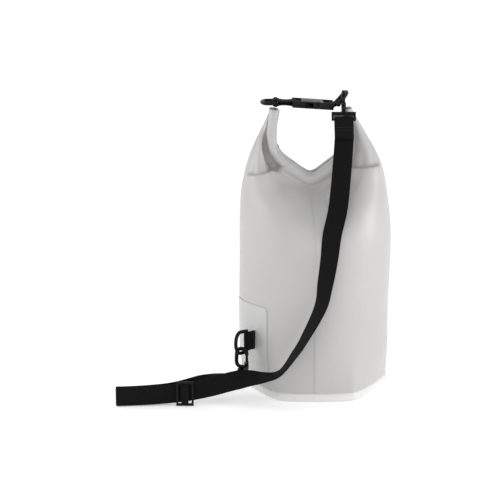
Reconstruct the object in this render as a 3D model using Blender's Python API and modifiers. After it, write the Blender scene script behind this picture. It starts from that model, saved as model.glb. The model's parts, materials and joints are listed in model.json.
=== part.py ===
"""Roll-top dry bag with a clip-on shoulder strap: one object for each piece, in metres, +Z up.

The origin is the centre of the base, on the surface the bag stands on. +X is the bag's right, -Y its front.
"""

import math

import bmesh
import bpy
from mathutils import Matrix, Vector

# Bag: a welded tube of tarpaulin on a round base
BASE_RADIUS = 0.0965
BASE_FLATS = 0.05  # how far the six soft flats of the base outline lie inside its circle, as a share
HALF_WIDTH = 0.1015
HALF_DEPTH = 0.0900
WALL = 0.0010
RIM_HEIGHT = 0.010
GAP = 0.0003  # clearance between pieces that touch
AROUND = 48
COLUMN = 0.205  # the tube stands straight up to here

# Roll: the mouth's rolled strip, bent to a U in the XZ plane
ROLL_CENTRE_X = -0.008
ROLL_THICK = 0.015
ROLL_WIDTH = 0.036
ROLL_TAPER = 0.010  # how much narrower the roll is at its tips
ROLL_HALF = [(0.0, 0.2900), (0.028, 0.3010), (0.0475, 0.3200), (0.0515, 0.3450), (0.0480, 0.3770)]

# Webbing and hardware
WEB_WIDTH = 0.025
WEB_THICK = 0.0013
RING_WIRE = 0.0018
RING_HALF = 0.0145
RING_LEG = 0.011
RING_DEPTH = 0.0185
BUCKLE_CENTRE = (-0.002, 0.0, 0.3835)
BUCKLE_SLOPE = math.radians(3.7)
BUCKLE_WIDTH = 0.032
BUCKLE_THICK = 0.009
SOCKET_BAR_X = -0.0281  # the buckle's two bars, in its own frame
PLUG_BAR_X = 0.0220
LEFT_BAR = Vector((-0.0535, 0.0, 0.3860))
RIGHT_BAR = Vector((0.0275, 0.0, 0.3850))
RIGHT_RING_TILT = math.radians(50)
LOWER_BAR = Vector((-0.0920, -0.0650, 0.0765))
LOWER_OUT = Vector((-0.78, -0.62, 0.0)).normalized()

# Snap hook, in its own frame: +z along the hook, the oval in its xz plane, z = 0 at the oval's foot
HOOK_HALF = 0.0075
HOOK_TALL = 0.0250
HOOK_WIRE = 0.0021
EYE_BAR_Z = -0.0120
GATE_FOOT = 0.0065
GATE_TOP = 0.0165
PIN_RADIUS = 0.0008

WHITE = (0.80, 0.80, 0.79)
BLACK = (0.012, 0.012, 0.013)

# The strap's way from the upper hook to its fold on the ground: centre, and the side its width points to
FRONT_RUN = [
    ((0.0352, -0.0330, 0.3405), (1.00, 0.00, 0.00)),
    ((0.0325, -0.0460, 0.3130), (1.00, 0.00, 0.00)),
    ((0.0291, -0.0660, 0.2853), (1.00, -0.06, 0.00)),
    ((0.0246, -0.0860, 0.2575), (0.98, -0.15, 0.00)),
    ((0.0175, -0.0960, 0.2280), (0.93, -0.30, 0.00)),
    ((0.0140, -0.0990, 0.1965), (0.85, -0.50, 0.00)),
    ((0.0092, -0.1015, 0.1648), (0.75, -0.65, 0.00)),
    ((0.0030, -0.1030, 0.1331), (0.55, -0.83, 0.00)),
    ((-0.0175, -0.1045, 0.0910), (0.30, -0.95, 0.00)),
    ((-0.0305, -0.1055, 0.0701), (0.20, -0.97, 0.00)),
    ((-0.0486, -0.1075, 0.0465), (0.05, -1.00, 0.00)),
    ((-0.0695, -0.1095, 0.0412), (0.00, -0.97, -0.25)),
    ((-0.0903, -0.1085, 0.0395), (0.00, -0.75, -0.66)),
    ((-0.1110, -0.1065, 0.0350), (0.00, -0.30, -0.95)),
    ((-0.1420, -0.1030, 0.0250), (0.00, -0.08, -1.00)),
    ((-0.1730, -0.1020, 0.0180), (0.00, 0.00, -1.00)),
    ((-0.2040, -0.1030, 0.0150), (0.00, 0.00, -1.00)),
    ((-0.2300, -0.1045, 0.0138), (0.00, 0.00, -1.00)),
    ((-0.2600, -0.1070, 0.0134), (0.00, 0.00, -1.00)),
]
# The doubled part's way back from the fold to the lower hook
BACK_RUN = [
    ((-0.2600, -0.1025, 0.0134), (0.00, 0.00, -1.00)),
    ((-0.2250, -0.0990, 0.0140), (0.00, 0.00, -1.00)),
    ((-0.1900, -0.0940, 0.0160), (0.00, -0.10, -1.00)),
    ((-0.1620, -0.0860, 0.0205), (0.00, -0.45, -0.90)),
    ((-0.1400, -0.0790, 0.0260), (-0.20, -0.85, -0.45)),
    ((-0.1185, -0.0730, 0.0305), (-0.42, -0.90, -0.05)),
]
LAYER = 0.0018  # from one layer of webbing to the next
SLIDER_STATION = Vector((-0.1730, -0.1020, 0.0170))
UPPER_CROSSING = Vector((0.0345, -0.0140, 0.3933))  # where the right ring passes through the upper hook
HOOK_REACH = 0.0170  # from the oval's foot up to the ring inside it


# ---------------------------------------------------------------- helpers
def clear_scene():
    for obj in list(bpy.data.objects):
        bpy.data.objects.remove(obj, do_unlink=True)


def collection(name, hidden=False):
    made = bpy.data.collections.new(name)
    bpy.context.scene.collection.children.link(made)
    made.hide_render = hidden
    return made


def material(name, colour, roughness):
    made = bpy.data.materials.new(name)
    made.use_nodes = True
    shader = made.node_tree.nodes["Principled BSDF"]
    shader.inputs["Base Color"].default_value = (*colour, 1.0)
    shader.inputs["Roughness"].default_value = roughness
    return made


clear_scene()
PARTS = collection("dry_bag")
CUTTERS = collection("cutters", hidden=True)
FABRIC = material("white_tarpaulin", WHITE, 0.45)
STIFF = material("stiffener_strip", (0.30, 0.30, 0.31), 0.60)
WEBBING = material("black_webbing", BLACK, 0.85)
PLASTIC = material("black_acetal", (0.02, 0.02, 0.02), 0.35)
STEEL = material("steel_pin", (0.55, 0.55, 0.56), 0.30)


def add(name, mesh, look, parent=None, smooth=True):
    """A part's object. A parent's frame is the frame that the mesh is in."""
    obj = bpy.data.objects.new(name, mesh)
    PARTS.objects.link(obj)
    mesh.materials.clear()
    mesh.materials.append(look)
    if smooth:
        mesh.shade_smooth()
        mesh.set_sharp_from_angle(angle=math.radians(35))
    obj.parent = parent
    return obj


def pivot(name, location, basis=None):
    """An empty on a joint's axis."""
    made = bpy.data.objects.new(name, None)
    PARTS.objects.link(made)
    made.matrix_world = Matrix.Translation(location) @ (basis or Matrix()).to_4x4()
    return made


def keep_place(obj, parent):
    """Parents an object whose mesh is already in world coordinates."""
    obj.parent = parent
    obj.matrix_parent_inverse = parent.matrix_world.inverted()


def mesh_of(name, bm):
    bmesh.ops.recalc_face_normals(bm, faces=bm.faces)
    mesh = bpy.data.meshes.new(name)
    bm.to_mesh(mesh)
    bm.free()
    return mesh


def box_mesh(name, low, high):
    bm = bmesh.new()
    bmesh.ops.create_cube(bm, size=1.0)
    middle = (Vector(low) + Vector(high)) / 2
    size = Vector(high) - Vector(low)
    bmesh.ops.transform(bm, matrix=Matrix.Translation(middle) @ Matrix.Diagonal((*size, 1)), verts=bm.verts)
    return mesh_of(name, bm)


def cylinder_mesh(name, start, end, radius, sides=16):
    start, end = Vector(start), Vector(end)
    along = end - start
    bm = bmesh.new()
    bmesh.ops.create_cone(
        bm, cap_ends=True, segments=sides, radius1=radius, radius2=radius, depth=along.length
    )
    turn = Vector((0, 0, 1)).rotation_difference(along).to_matrix().to_4x4()
    bmesh.ops.transform(bm, matrix=Matrix.Translation((start + end) / 2) @ turn, verts=bm.verts)
    return mesh_of(name, bm)


def rod_mesh(name, points, radius, cyclic=False, resolution=2):
    """A round wire along points, as one closed mesh."""
    curve = bpy.data.curves.new(name, "CURVE")
    curve.dimensions = "3D"
    curve.bevel_depth = radius
    curve.bevel_resolution = resolution
    curve.use_fill_caps = not cyclic
    spline = curve.splines.new("POLY")
    spline.points.add(len(points) - 1)
    for point, place in zip(spline.points, points):
        point.co = (*place, 1.0)
    spline.use_cyclic_u = cyclic
    guide = bpy.data.objects.new(name, curve)
    PARTS.objects.link(guide)
    bpy.context.view_layer.update()
    mesh = bpy.data.meshes.new_from_object(guide.evaluated_get(bpy.context.evaluated_depsgraph_get()))
    bpy.data.objects.remove(guide, do_unlink=True)
    bm = bmesh.new()
    bm.from_mesh(mesh)
    bmesh.ops.remove_doubles(bm, verts=bm.verts, dist=1e-6)
    return mesh_of(name, bm)


def boolean(obj, mesh, operation):
    """Joins a mesh to an object or cuts it out of the object. The mesh is in the object's frame."""
    other = bpy.data.objects.new(obj.name + "_tool", mesh)
    CUTTERS.objects.link(other)
    other.hide_render = True
    other.display_type = "WIRE"
    other.parent = obj.parent
    modifier = obj.modifiers.new(operation.lower(), "BOOLEAN")
    modifier.operation = operation
    modifier.solver = "EXACT"
    modifier.object = other


def smooth_path(points, steps):
    """Points along a Catmull-Rom curve through the given points (tuples of any length)."""
    made = []
    ends = [points[0], *points, points[-1]]
    for i in range(1, len(ends) - 2):
        a, b, c, d = (Vector(p) for p in ends[i - 1 : i + 3])
        for k in range(steps):
            t = k / steps
            bend = (2 * a - 5 * b + 4 * c - d) * t**2 + (3 * b - a - 3 * c + d) * t**3
            made.append(0.5 * (2 * b + (c - a) * t + bend))
    return [*made, Vector(points[-1])]


def band(name, stations, width, thick, look, closed=False):
    """Webbing: an open strip between two edges, made solid. Stations are (centre, side)."""
    bm = bmesh.new()
    rows = []
    for centre, side in stations:
        half = Vector(side).normalized() * width / 2
        rows.append((bm.verts.new(Vector(centre) - half), bm.verts.new(Vector(centre) + half)))
    pairs = list(zip(rows, rows[1:])) + ([(rows[-1], rows[0])] if closed else [])
    for (a, b), (c, d) in pairs:
        bm.faces.new((a, b, d, c))
    obj = add(name, mesh_of(name, bm), look)
    solid = obj.modifiers.new("thickness", "SOLIDIFY")
    solid.thickness = thick
    solid.offset = 0.0
    solid.use_even_offset = True
    return obj


def square_sides(stations):
    """Turns each station's side square to the strip's way there."""
    made = []
    for i, (centre, side) in enumerate(stations):
        before = stations[max(i - 1, 0)][0]
        after = stations[min(i + 1, len(stations) - 1)][0]
        way = (after - before).normalized()
        side = side - way * side.dot(way)
        made.append((centre, side.normalized(), way))
    return made


def run_stations(points, steps):
    """(centre, side, way) along a strap's route."""
    route = smooth_path([(*centre, *side) for centre, side in points], steps)
    return square_sides([(Vector(p[:3]), Vector(p[3:])) for p in route])


def shifted(stations, offset):
    """The same strip, moved along its own face's normal."""
    return [(c + way.cross(side) * offset, side) for c, side, way in stations]


def loop_path(first, second, radius_first, radius_second, side, steps=6):
    """Stations of a closed strip round two bars that lie along side."""
    first, second, side = Vector(first), Vector(second), Vector(side).normalized()
    way = (second - first).normalized()
    across = way.cross(side)
    made = []
    for centre, radius, turn in ((first, radius_first, 0.5), (second, radius_second, -0.5)):
        for k in range(steps + 1):
            angle = math.pi * (turn + k / steps)
            made.append((centre + (way * math.cos(angle) + across * math.sin(angle)) * radius, side))
    return made


# ---------------------------------------------------------------- the bag
ROLL_LINE = smooth_path(
    [(ROLL_CENTRE_X - x, 0.0, z) for x, z in reversed(ROLL_HALF[1:])]
    + [(ROLL_CENTRE_X + x, 0.0, z) for x, z in ROLL_HALF],
    8,
)


def roll_at(share):
    """Centre and outward normal of the roll, from its left tip (0) to its right tip (1)."""
    place = min(max(share, 0.0), 1.0) * (len(ROLL_LINE) - 1)
    i = min(int(place), len(ROLL_LINE) - 2)
    centre = ROLL_LINE[i].lerp(ROLL_LINE[i + 1], place - i)
    way = (ROLL_LINE[i + 1] - ROLL_LINE[i]).normalized()
    return centre, Vector((way.z, 0.0, -way.x))


def outline(angle, height):
    """A level section of the tube: round with six soft flats at the base, a little flattened above."""
    rise = min(height / 0.05, 1.0)
    flats = 1 - BASE_FLATS * (1 - rise) * math.sin(3 * angle) ** 2
    across = BASE_RADIUS + (HALF_WIDTH - BASE_RADIUS) * rise
    deep = BASE_RADIUS + (HALF_DEPTH - BASE_RADIUS) * rise
    return Vector((across * math.cos(angle) * flats, deep * math.sin(angle) * flats, height))


def wall_point(angle, share):
    """A point of the tube's outside. share runs from 0 at the base to 1 where the tube meets the roll."""
    side = abs(math.cos(angle))
    if share < 0.5:
        return outline(angle, COLUMN * share / 0.5)
    foot = outline(angle, COLUMN)
    centre, normal = roll_at(0.5 + 0.5 * math.cos(angle))
    deep = (ROLL_WIDTH / 2 - 0.001) * math.copysign(abs(math.sin(angle)) ** 0.7, math.sin(angle))
    top = centre + normal * (ROLL_THICK / 2 + WALL + GAP) + Vector((0, deep, 0))
    low = foot + Vector((0, 0, 0.050 + 0.065 * side**2))
    high = top + (foot - top) * 0.28 + normal * 0.006
    t = (share - 0.5) / 0.5
    return foot * (1 - t) ** 3 + low * 3 * t * (1 - t) ** 2 + high * 3 * t * t * (1 - t) + top * t**3


def surface(name, point, angles, shares, thick, outward, look):
    """A shell over part of the tube's outside, made solid on one side of it."""
    bm = bmesh.new()
    rows = [[bm.verts.new(point(a, s)) for a in angles] for s in shares]
    wrap = len(angles) if abs(angles[-1] - angles[0]) > 5.9 else len(angles) - 1
    for low, high in zip(rows, rows[1:]):
        for i in range(wrap):
            k = (i + 1) % len(angles)
            bm.faces.new((low[i], low[k], high[k], high[i]))
    mesh = bpy.data.meshes.new(name)
    bm.to_mesh(mesh)
    bm.free()
    obj = add(name, mesh, look)
    solid = obj.modifiers.new("thickness", "SOLIDIFY")
    solid.thickness = thick
    solid.offset = 1.0 if outward else -1.0
    solid.use_even_offset = True
    return obj


def spread(first, last, count):
    return [first + (last - first) * i / (count - 1) for i in range(count)]


def offset_wall(distance):
    """The tube's outside, moved out by a distance."""

    def point(angle, share):
        here = wall_point(angle, share)
        along = wall_point(angle + 0.01, share) - wall_point(angle - 0.01, share)
        up = wall_point(angle, share + 0.005) - wall_point(angle, share - 0.005)
        return here + along.cross(up).normalized() * distance

    return point


AROUND_ANGLES = [2 * math.pi * i / AROUND for i in range(AROUND)]
TUBE_LEVELS = [0.006, 0.05, 0.105, 0.22, 0.325, 0.42, 0.5] + spread(0.55, 1.0, 14)


def bag_tube():
    surface("bag_tube", wall_point, AROUND_ANGLES, TUBE_LEVELS, WALL, False, FABRIC)


def base_disc():
    """A shallow cup: the round base panel with the rim that is welded to the tube, inside it."""
    bm = bmesh.new()
    inset = WALL + GAP
    for height in (0.0, RIM_HEIGHT):
        for i in range(AROUND):
            here = outline(2 * math.pi * i / AROUND, height)
            level = Vector((here.x, here.y, 0)) * (1 - inset / Vector((here.x, here.y)).length)
            bm.verts.new((level.x, level.y, height))
    bm.verts.ensure_lookup_table()
    bm.faces.new(bm.verts[:AROUND])
    for i in range(AROUND):
        k = (i + 1) % AROUND
        bm.faces.new((bm.verts[i], bm.verts[k], bm.verts[AROUND + k], bm.verts[AROUND + i]))
    obj = add("base_disc", mesh_of("base_disc", bm), FABRIC)
    solid = obj.modifiers.new("thickness", "SOLIDIFY")
    solid.thickness = WALL
    solid.offset = -1.0
    solid.use_even_offset = True
    return obj


def strips_on_the_bag():
    """The tube's own overlap seam down the front, and the welded patch under the lower anchor."""
    front, left = 36, 24
    surface(
        "seam_overlap", offset_wall(2 * GAP), AROUND_ANGLES[front : front + 3],
        TUBE_LEVELS[1:17], 0.0005, True, FABRIC,
    )
    surface(
        "anchor_patch", offset_wall(GAP), AROUND_ANGLES[left : left + 7],
        TUBE_LEVELS[2:5], 0.0006, True, FABRIC,
    )


def flat_ring(centre, normal, thick, deep, corners=4):
    """A level strip's section: a rounded rectangle, thick along the normal and deep along Y."""
    radius = thick / 2
    ring = []
    for side, start in ((1, 0.0), (-1, math.pi)):
        for k in range(corners + 1):
            angle = start + math.pi * k / corners - math.pi / 2
            y = side * (deep / 2 - radius) + math.cos(angle) * radius
            ring.append(centre + normal * (math.sin(angle) * radius) + Vector((0, y, 0)))
    return ring


def roll_top():
    """The rolled mouth, as one hollow strip with a slot for the stiffener."""
    bm = bmesh.new()
    rings = []
    shares = spread(0.0, 1.0, 33)
    for thick, deep in ((ROLL_THICK, ROLL_WIDTH), (0.0034, ROLL_WIDTH - 0.006)):
        side = []
        for share in shares:
            centre, normal = roll_at(share)
            narrow = max(0.0, abs(share - 0.5) - 0.34) / 0.16 * ROLL_TAPER
            side.append([bm.verts.new(p) for p in flat_ring(centre, normal, thick, deep - narrow)])
        rings.append(side)
    count = len(rings[0][0])
    for side in rings:
        for low, high in zip(side, side[1:]):
            for i in range(count):
                k = (i + 1) % count
                bm.faces.new((low[i], low[k], high[k], high[i]))
    for end in (0, -1):
        outer, inner = rings[0][end], rings[1][end]
        for i in range(count):
            k = (i + 1) % count
            bm.faces.new((outer[i], outer[k], inner[k], inner[i]))
    add("roll_top", mesh_of("roll_top", bm), FABRIC)


def mouth_stiffener():
    stations = []
    for share in spread(0.02, 0.98, 33):
        stations.append((roll_at(share)[0], (0, 1, 0)))
    band("mouth_stiffener", stations, 0.018, 0.0014, STIFF)


# ---------------------------------------------------------------- rings, tabs and the buckle
def d_ring(name, bar, out, along, parent):
    """A moulded D-ring: a straight bar, two short legs and a half-round front."""
    out, along = Vector(out).normalized(), Vector(along).normalized()
    points = [bar + along * RING_HALF, bar + along * RING_HALF + out * RING_LEG]
    for k in range(1, 8):
        angle = math.pi * k / 8
        front = RING_LEG + (RING_DEPTH - RING_LEG) * math.sin(angle)
        points.append(bar + along * RING_HALF * math.cos(angle) + out * front)
    points += [bar - along * RING_HALF + out * RING_LEG, bar - along * RING_HALF]
    obj = add(name, rod_mesh(name, points, RING_WIRE, cyclic=True), PLASTIC)
    keep_place(obj, parent)


def web_loop(name, first, second, radius_first, radius_second, side, parent=None):
    stations = loop_path(first, second, radius_first, radius_second, side)
    obj = band(name, stations, WEB_WIDTH, WEB_THICK, WEBBING, closed=True)
    if parent:
        keep_place(obj, parent)
    return obj


def buckle():
    """Side-release buckle. In its own frame +x runs from the socket half to the plug half."""
    basis = Matrix.Rotation(BUCKLE_SLOPE, 3, "Y")
    left = pivot("buckle_release_axis", BUCKLE_CENTRE, basis)
    right = pivot("buckle_plug_frame", BUCKLE_CENTRE, basis)
    wide, thick = BUCKLE_WIDTH / 2, BUCKLE_THICK / 2
    shape = box_mesh("buckle_socket", (-0.0300, -wide, -thick), (0.0040, wide, thick))
    socket = add("buckle_socket", shape, PLASTIC, left, smooth=False)
    cuts = [
        ((-0.0150, -0.0124, -0.0027), (0.0050, 0.0124, 0.0027)),  # the sleeve
        ((-0.0130, -0.0200, -0.0026), (-0.0030, 0.0200, 0.0026)),  # side windows for the prongs
        ((-0.0262, -0.0132, -0.0100), (-0.0185, 0.0132, 0.0100)),  # way through for the webbing
        ((-0.0310, -0.0132, 0.0015), (-0.0250, 0.0132, 0.0100)),  # bar, above
        ((-0.0310, -0.0132, -0.0100), (-0.0250, 0.0132, -0.0015)),  # bar, below
    ]
    for low, high in cuts:
        boolean(socket, box_mesh("cut", low, high), "DIFFERENCE")
    shape = box_mesh("buckle_plug", (0.0043, -wide, -thick), (0.0240, wide, thick))
    plug = add("buckle_plug", shape, PLASTIC, right, smooth=False)
    cuts = [
        ((0.0105, -0.0132, -0.0100), (0.0200, 0.0132, 0.0100)),
        ((0.0190, -0.0132, 0.0015), (0.0250, 0.0132, 0.0100)),
        ((0.0190, -0.0132, -0.0100), (0.0250, 0.0132, -0.0015)),
    ]
    for low, high in cuts:
        boolean(plug, box_mesh("cut", low, high), "DIFFERENCE")
    boolean(plug, box_mesh("tongue", (-0.0110, -0.0035, -0.0020), (0.0050, 0.0035, 0.0020)), "UNION")
    for name, side in (("prong_front", -1), ("prong_back", 1)):
        root = basis @ Vector((0.0035, side * 0.0100, 0.0)) + Vector(BUCKLE_CENTRE)
        axis = pivot(name + "_axis", root, basis)
        low, high = (-0.0165, -0.0016, -0.0022), (0.0005, 0.0020, 0.0022)
        if side < 0:
            low, high = (low[0], -high[1], low[2]), (high[0], -low[1], high[2])
        add("buckle_" + name, box_mesh(name, low, high), PLASTIC, axis, False)
    return left


def buckle_point(x):
    return Vector(BUCKLE_CENTRE) + Matrix.Rotation(BUCKLE_SLOPE, 3, "Y") @ Vector((x, 0, 0))


# ---------------------------------------------------------------- snap hooks
def oval_points():
    """The hook's wire: from the gate's foot round the oval to the nose that the gate shuts on."""
    points = [(HOOK_HALF, 0, GATE_FOOT - 0.0030), (HOOK_HALF * 0.92, 0, 0.0022)]
    points += [(HOOK_HALF * 0.6, 0, 0.0006), (0, 0, 0), (-HOOK_HALF * 0.6, 0, 0.0008)]
    points += [(-HOOK_HALF, 0, 0.0050), (-HOOK_HALF, 0, 0.0175)]
    for k in range(1, 8):
        angle = math.pi - math.pi * k / 8
        height = HOOK_TALL - HOOK_HALF * (1 - math.sin(angle))
        points.append((HOOK_HALF * math.cos(angle), 0, height))
    return points + [(HOOK_HALF, 0, HOOK_TALL - HOOK_HALF), (HOOK_HALF, 0, GATE_TOP + 0.0005)]


def pin_bore(x, z):
    return cylinder_mesh("pin_way", (x, -0.004, z), (x, 0.004, z), PIN_RADIUS + GAP, 12)


def snap_hook(prefix, bar, up, gate_side):
    """Hook with its sprung gate and pin, and the eye it swivels in. Both are in the hook's frame."""
    up, gate_side = Vector(up).normalized(), Vector(gate_side)
    gate_side = (gate_side - up * gate_side.dot(up)).normalized()
    basis = Matrix((gate_side, up.cross(gate_side), up)).transposed()
    foot = bar - up * EYE_BAR_Z
    swivel = pivot(prefix + "_hook_swivel_axis", foot, basis)
    name = prefix + "_hook_body"
    body = add(name, rod_mesh(name, oval_points(), HOOK_WIRE), PLASTIC, swivel)
    for sign in (-1, 1):
        near, far = sorted((sign * 0.0016, sign * 0.0026))
        ear = box_mesh("ear", (0.0050, near, 0.0022), (0.0090, far, GATE_FOOT + 0.0016))
        boolean(body, ear, "UNION")
    boolean(body, pin_bore(HOOK_HALF, GATE_FOOT), "DIFFERENCE")
    boolean(body, cylinder_mesh("post", (0, 0, 0.0005), (0, 0, -0.0062), 0.0024), "UNION")
    boolean(body, cylinder_mesh("head", (0, 0, -0.0061), (0, 0, -0.0074), 0.0040), "UNION")
    gate_foot = swivel.matrix_world @ Vector((HOOK_HALF, 0, GATE_FOOT))
    gate_axis = pivot(prefix + "_gate_axis", gate_foot, basis)
    name = prefix + "_gate"
    arm = cylinder_mesh(name, (0, 0, 0.0018), (0, 0, GATE_TOP - GATE_FOOT), 0.0015, 12)
    gate = add(name, arm, PLASTIC, gate_axis)
    boolean(gate, cylinder_mesh("knuckle", (0, -0.0012, 0), (0, 0.0012, 0), 0.0021), "UNION")
    boolean(gate, box_mesh("neck", (-0.0011, -0.0012, 0.0005), (0.0011, 0.0012, 0.0030)), "UNION")
    boolean(gate, pin_bore(0, 0), "DIFFERENCE")
    name = prefix + "_gate_pin"
    ends = [(HOOK_HALF, y, GATE_FOOT) for y in (-0.0026, 0.0026)]
    add(name, cylinder_mesh(name, *ends, PIN_RADIUS, 12), STEEL, swivel)
    eye_frame = pivot(prefix + "_eye_frame", foot, basis)
    name = prefix + "_swivel_eye"
    eye = add(name, cylinder_mesh(name, (0, 0, -0.0027), (0, 0, -0.0057), 0.0055, 20), PLASTIC, eye_frame)
    boolean(eye, box_mesh("yoke", (-0.0022, -0.0155, -0.0057), (0.0022, 0.0155, -0.0027)), "UNION")
    for sign in (-1, 1):
        low, high = sorted((sign * 0.0135, sign * 0.0155))
        boolean(eye, box_mesh("side", (-0.0018, low, EYE_BAR_Z - 0.0018), (0.0018, high, -0.0030)), "UNION")
    bar_ends = [(0, y, EYE_BAR_Z) for y in (-0.0150, 0.0150)]
    boolean(eye, cylinder_mesh("bar", *bar_ends, 0.0018, 12), "UNION")
    boolean(eye, cylinder_mesh("way", (0, 0, 0.0), (0, 0, -0.0100), 0.0028, 20), "DIFFERENCE")


def strap():
    """The shoulder strap's webbing: sewn top end, the long run, the doubled part and its loop."""
    run = run_stations(FRONT_RUN, 3)
    back = run_stations(BACK_RUN, 4)
    band("strap_drop", [(c, s) for c, s, _ in run[:46]], WEB_WIDTH, WEB_THICK, WEBBING)
    down = Vector((0, 0, -1))
    front = run[46:]
    fold_y = (front[-1][0].y + back[0][0].y) / 2
    fold = Vector((front[-1][0].x, fold_y, front[-1][0].z))
    outer = [(c, s) for c, s, _ in front]
    wide = fold.y - front[-1][0].y + LAYER / 2
    for k in range(1, 8):
        angle = math.pi * k / 8
        turn = Vector((-wide * math.sin(angle), -wide * math.cos(angle) + LAYER / 2, 0))
        outer.append((fold + turn, down))
    outer += shifted(back, LAYER / 2)[1:]
    inner = [(c, s) for c, s, _ in front[1:]]
    inner = [(c + Vector((0, LAYER, 0)), s) for c, s in inner]
    tight = (shifted(back, -LAYER / 2)[0][0].y - inner[-1][0].y) / 2
    middle = inner[-1][0] + Vector((0, tight, 0))
    for k in range(1, 6):
        angle = math.pi * k / 6
        inner.append((middle + Vector((-tight * math.sin(angle), -tight * math.cos(angle), 0)), down))
    inner += shifted(back, -LAYER / 2)[1:]
    band("strap_outer_run", outer, WEB_WIDTH, WEB_THICK, WEBBING)
    band("strap_inner_run", inner, WEB_WIDTH, WEB_THICK, WEBBING)


def slider():
    """The strap's tri-glide: a frame with two windows in front of the strap, and the web over its bar."""
    frame = pivot("slider_slide_axis", SLIDER_STATION + Vector((0, -0.0024, 0)))
    shape = box_mesh("strap_slider", (-0.0115, -0.0014, -0.0165), (0.0115, 0.0014, 0.0165))
    body = add("strap_slider", shape, PLASTIC, frame, smooth=False)
    for sign in (-1, 1):
        low, high = sorted((sign * 0.0018, sign * 0.0088))
        boolean(body, box_mesh("window", (low, -0.01, -0.0132), (high, 0.01, 0.0132)), "DIFFERENCE")
    stations = []
    for k in range(9):
        angle = math.pi * k / 8
        place = (-0.0045 * math.cos(angle), -0.0026 * math.sin(angle), 0.0)
        stations.append((place, (0, 0, 1)))
    web = band("slider_web", stations, WEB_WIDTH, 0.0010, WEBBING)
    web.parent = frame


def build():
    bag_tube()
    base_disc()
    strips_on_the_bag()
    roll_top()
    mouth_stiffener()
    left = buckle()
    left_swing = pivot("left_ring_axis", LEFT_BAR)
    d_ring("left_d_ring", LEFT_BAR, (-1, 0, 0), (0, 1, 0), left_swing)
    web_loop("left_tab", LEFT_BAR, buckle_point(SOCKET_BAR_X), 0.0034, 0.0033, (0, 1, 0), left)
    right_swing = pivot("right_ring_axis", RIGHT_BAR)
    out = (math.cos(RIGHT_RING_TILT), 0, math.sin(RIGHT_RING_TILT))
    d_ring("right_d_ring", RIGHT_BAR, out, (0, 1, 0), right_swing)
    web_loop("right_tab", buckle_point(PLUG_BAR_X), RIGHT_BAR, 0.0034, 0.0029, (0, 1, 0))
    lower_swing = pivot("lower_ring_axis", LOWER_BAR)
    d_ring("lower_d_ring", LOWER_BAR, LOWER_OUT, (0, 0, 1), lower_swing)
    sewn = LOWER_BAR - LOWER_OUT * 0.0120
    web_loop("anchor_tab", sewn, LOWER_BAR, 0.0012, 0.0032, (0, 0, 1))
    upper_way = Vector((0, 0.45, 0.893)).normalized()
    upper_bar = UPPER_CROSSING - upper_way * (HOOK_REACH - EYE_BAR_Z)
    snap_hook("upper", upper_bar, upper_way, (0, -0.893, 0.45))
    strap_top = Vector(FRONT_RUN[0][0]) + Vector((0, 0, 0.0036))
    web_loop("strap_sewn_end", upper_bar, strap_top, 0.0030, 0.0011, (1, 0, 0))
    lower_bar = LOWER_BAR + LOWER_OUT * 0.0085 + Vector((0, 0, -RING_HALF - 0.0310))
    snap_hook("lower", lower_bar, (0, 0, 1), (0.9, -0.436, 0))
    web_end = lower_bar + Vector((-0.0090, 0.0010, 0.0002))
    web_loop("strap_eye_loop", lower_bar, web_end, 0.0030, 0.0018, (0.436, 0.9, 0))
    strap()
    slider()


build()
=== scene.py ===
# %% [markdown]
# # A roll-top dry bag
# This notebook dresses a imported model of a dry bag: a welded tube of coated fabric whose mouth is rolled down,
# bent to a loop and clipped shut, with a webbing shoulder strap on two snap hooks.
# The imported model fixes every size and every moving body. Here each plain solid gets its real surface.

# %% Load the frame
import json
import math

import bmesh
import bpy
import numpy as np
from mathutils import Matrix, Vector, noise

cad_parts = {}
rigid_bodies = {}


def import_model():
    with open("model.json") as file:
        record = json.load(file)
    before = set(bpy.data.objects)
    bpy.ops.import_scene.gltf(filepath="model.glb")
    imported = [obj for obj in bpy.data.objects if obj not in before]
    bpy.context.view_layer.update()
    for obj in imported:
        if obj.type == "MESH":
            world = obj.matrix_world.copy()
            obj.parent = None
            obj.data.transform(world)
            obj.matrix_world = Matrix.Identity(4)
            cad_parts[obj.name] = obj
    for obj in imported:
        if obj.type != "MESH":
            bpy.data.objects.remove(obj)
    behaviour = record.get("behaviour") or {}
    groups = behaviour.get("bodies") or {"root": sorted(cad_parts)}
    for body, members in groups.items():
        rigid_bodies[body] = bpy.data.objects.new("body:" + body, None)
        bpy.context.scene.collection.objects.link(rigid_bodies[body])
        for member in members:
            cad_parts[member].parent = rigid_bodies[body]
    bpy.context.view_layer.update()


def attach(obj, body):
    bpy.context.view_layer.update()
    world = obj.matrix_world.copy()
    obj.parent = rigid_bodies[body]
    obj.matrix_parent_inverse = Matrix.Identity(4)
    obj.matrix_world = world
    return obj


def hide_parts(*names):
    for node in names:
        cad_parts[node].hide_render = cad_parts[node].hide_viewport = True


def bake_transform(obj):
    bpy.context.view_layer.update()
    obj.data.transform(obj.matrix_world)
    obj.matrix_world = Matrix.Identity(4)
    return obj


for leftover in list(bpy.data.objects):
    bpy.data.objects.remove(leftover, do_unlink=True)

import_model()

# %% [markdown]
# ## Camera and studio
# A product picture on white: a long lens looks down a little at the bag, and a white floor runs out of sight. A
# broad light from the right leaves the bag's left side a shade darker. Two weaker ones, in front and on the left,
# and a white surround fill in.

# %% Camera, floor and lights
LOOK_AT = Vector((-0.0877, 0.0, 0.185))
CAMERA_HEIGHT_ANGLE = math.radians(14)
CAMERA_DISTANCE = 2.0
LIT = Vector((0, 0, 0.2))
LENS = 106.6


def in_scene(name, data):
    """A new object with this data, linked into the scene."""
    made = bpy.data.objects.new(name, data)
    bpy.context.scene.collection.objects.link(made)
    return made


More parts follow.
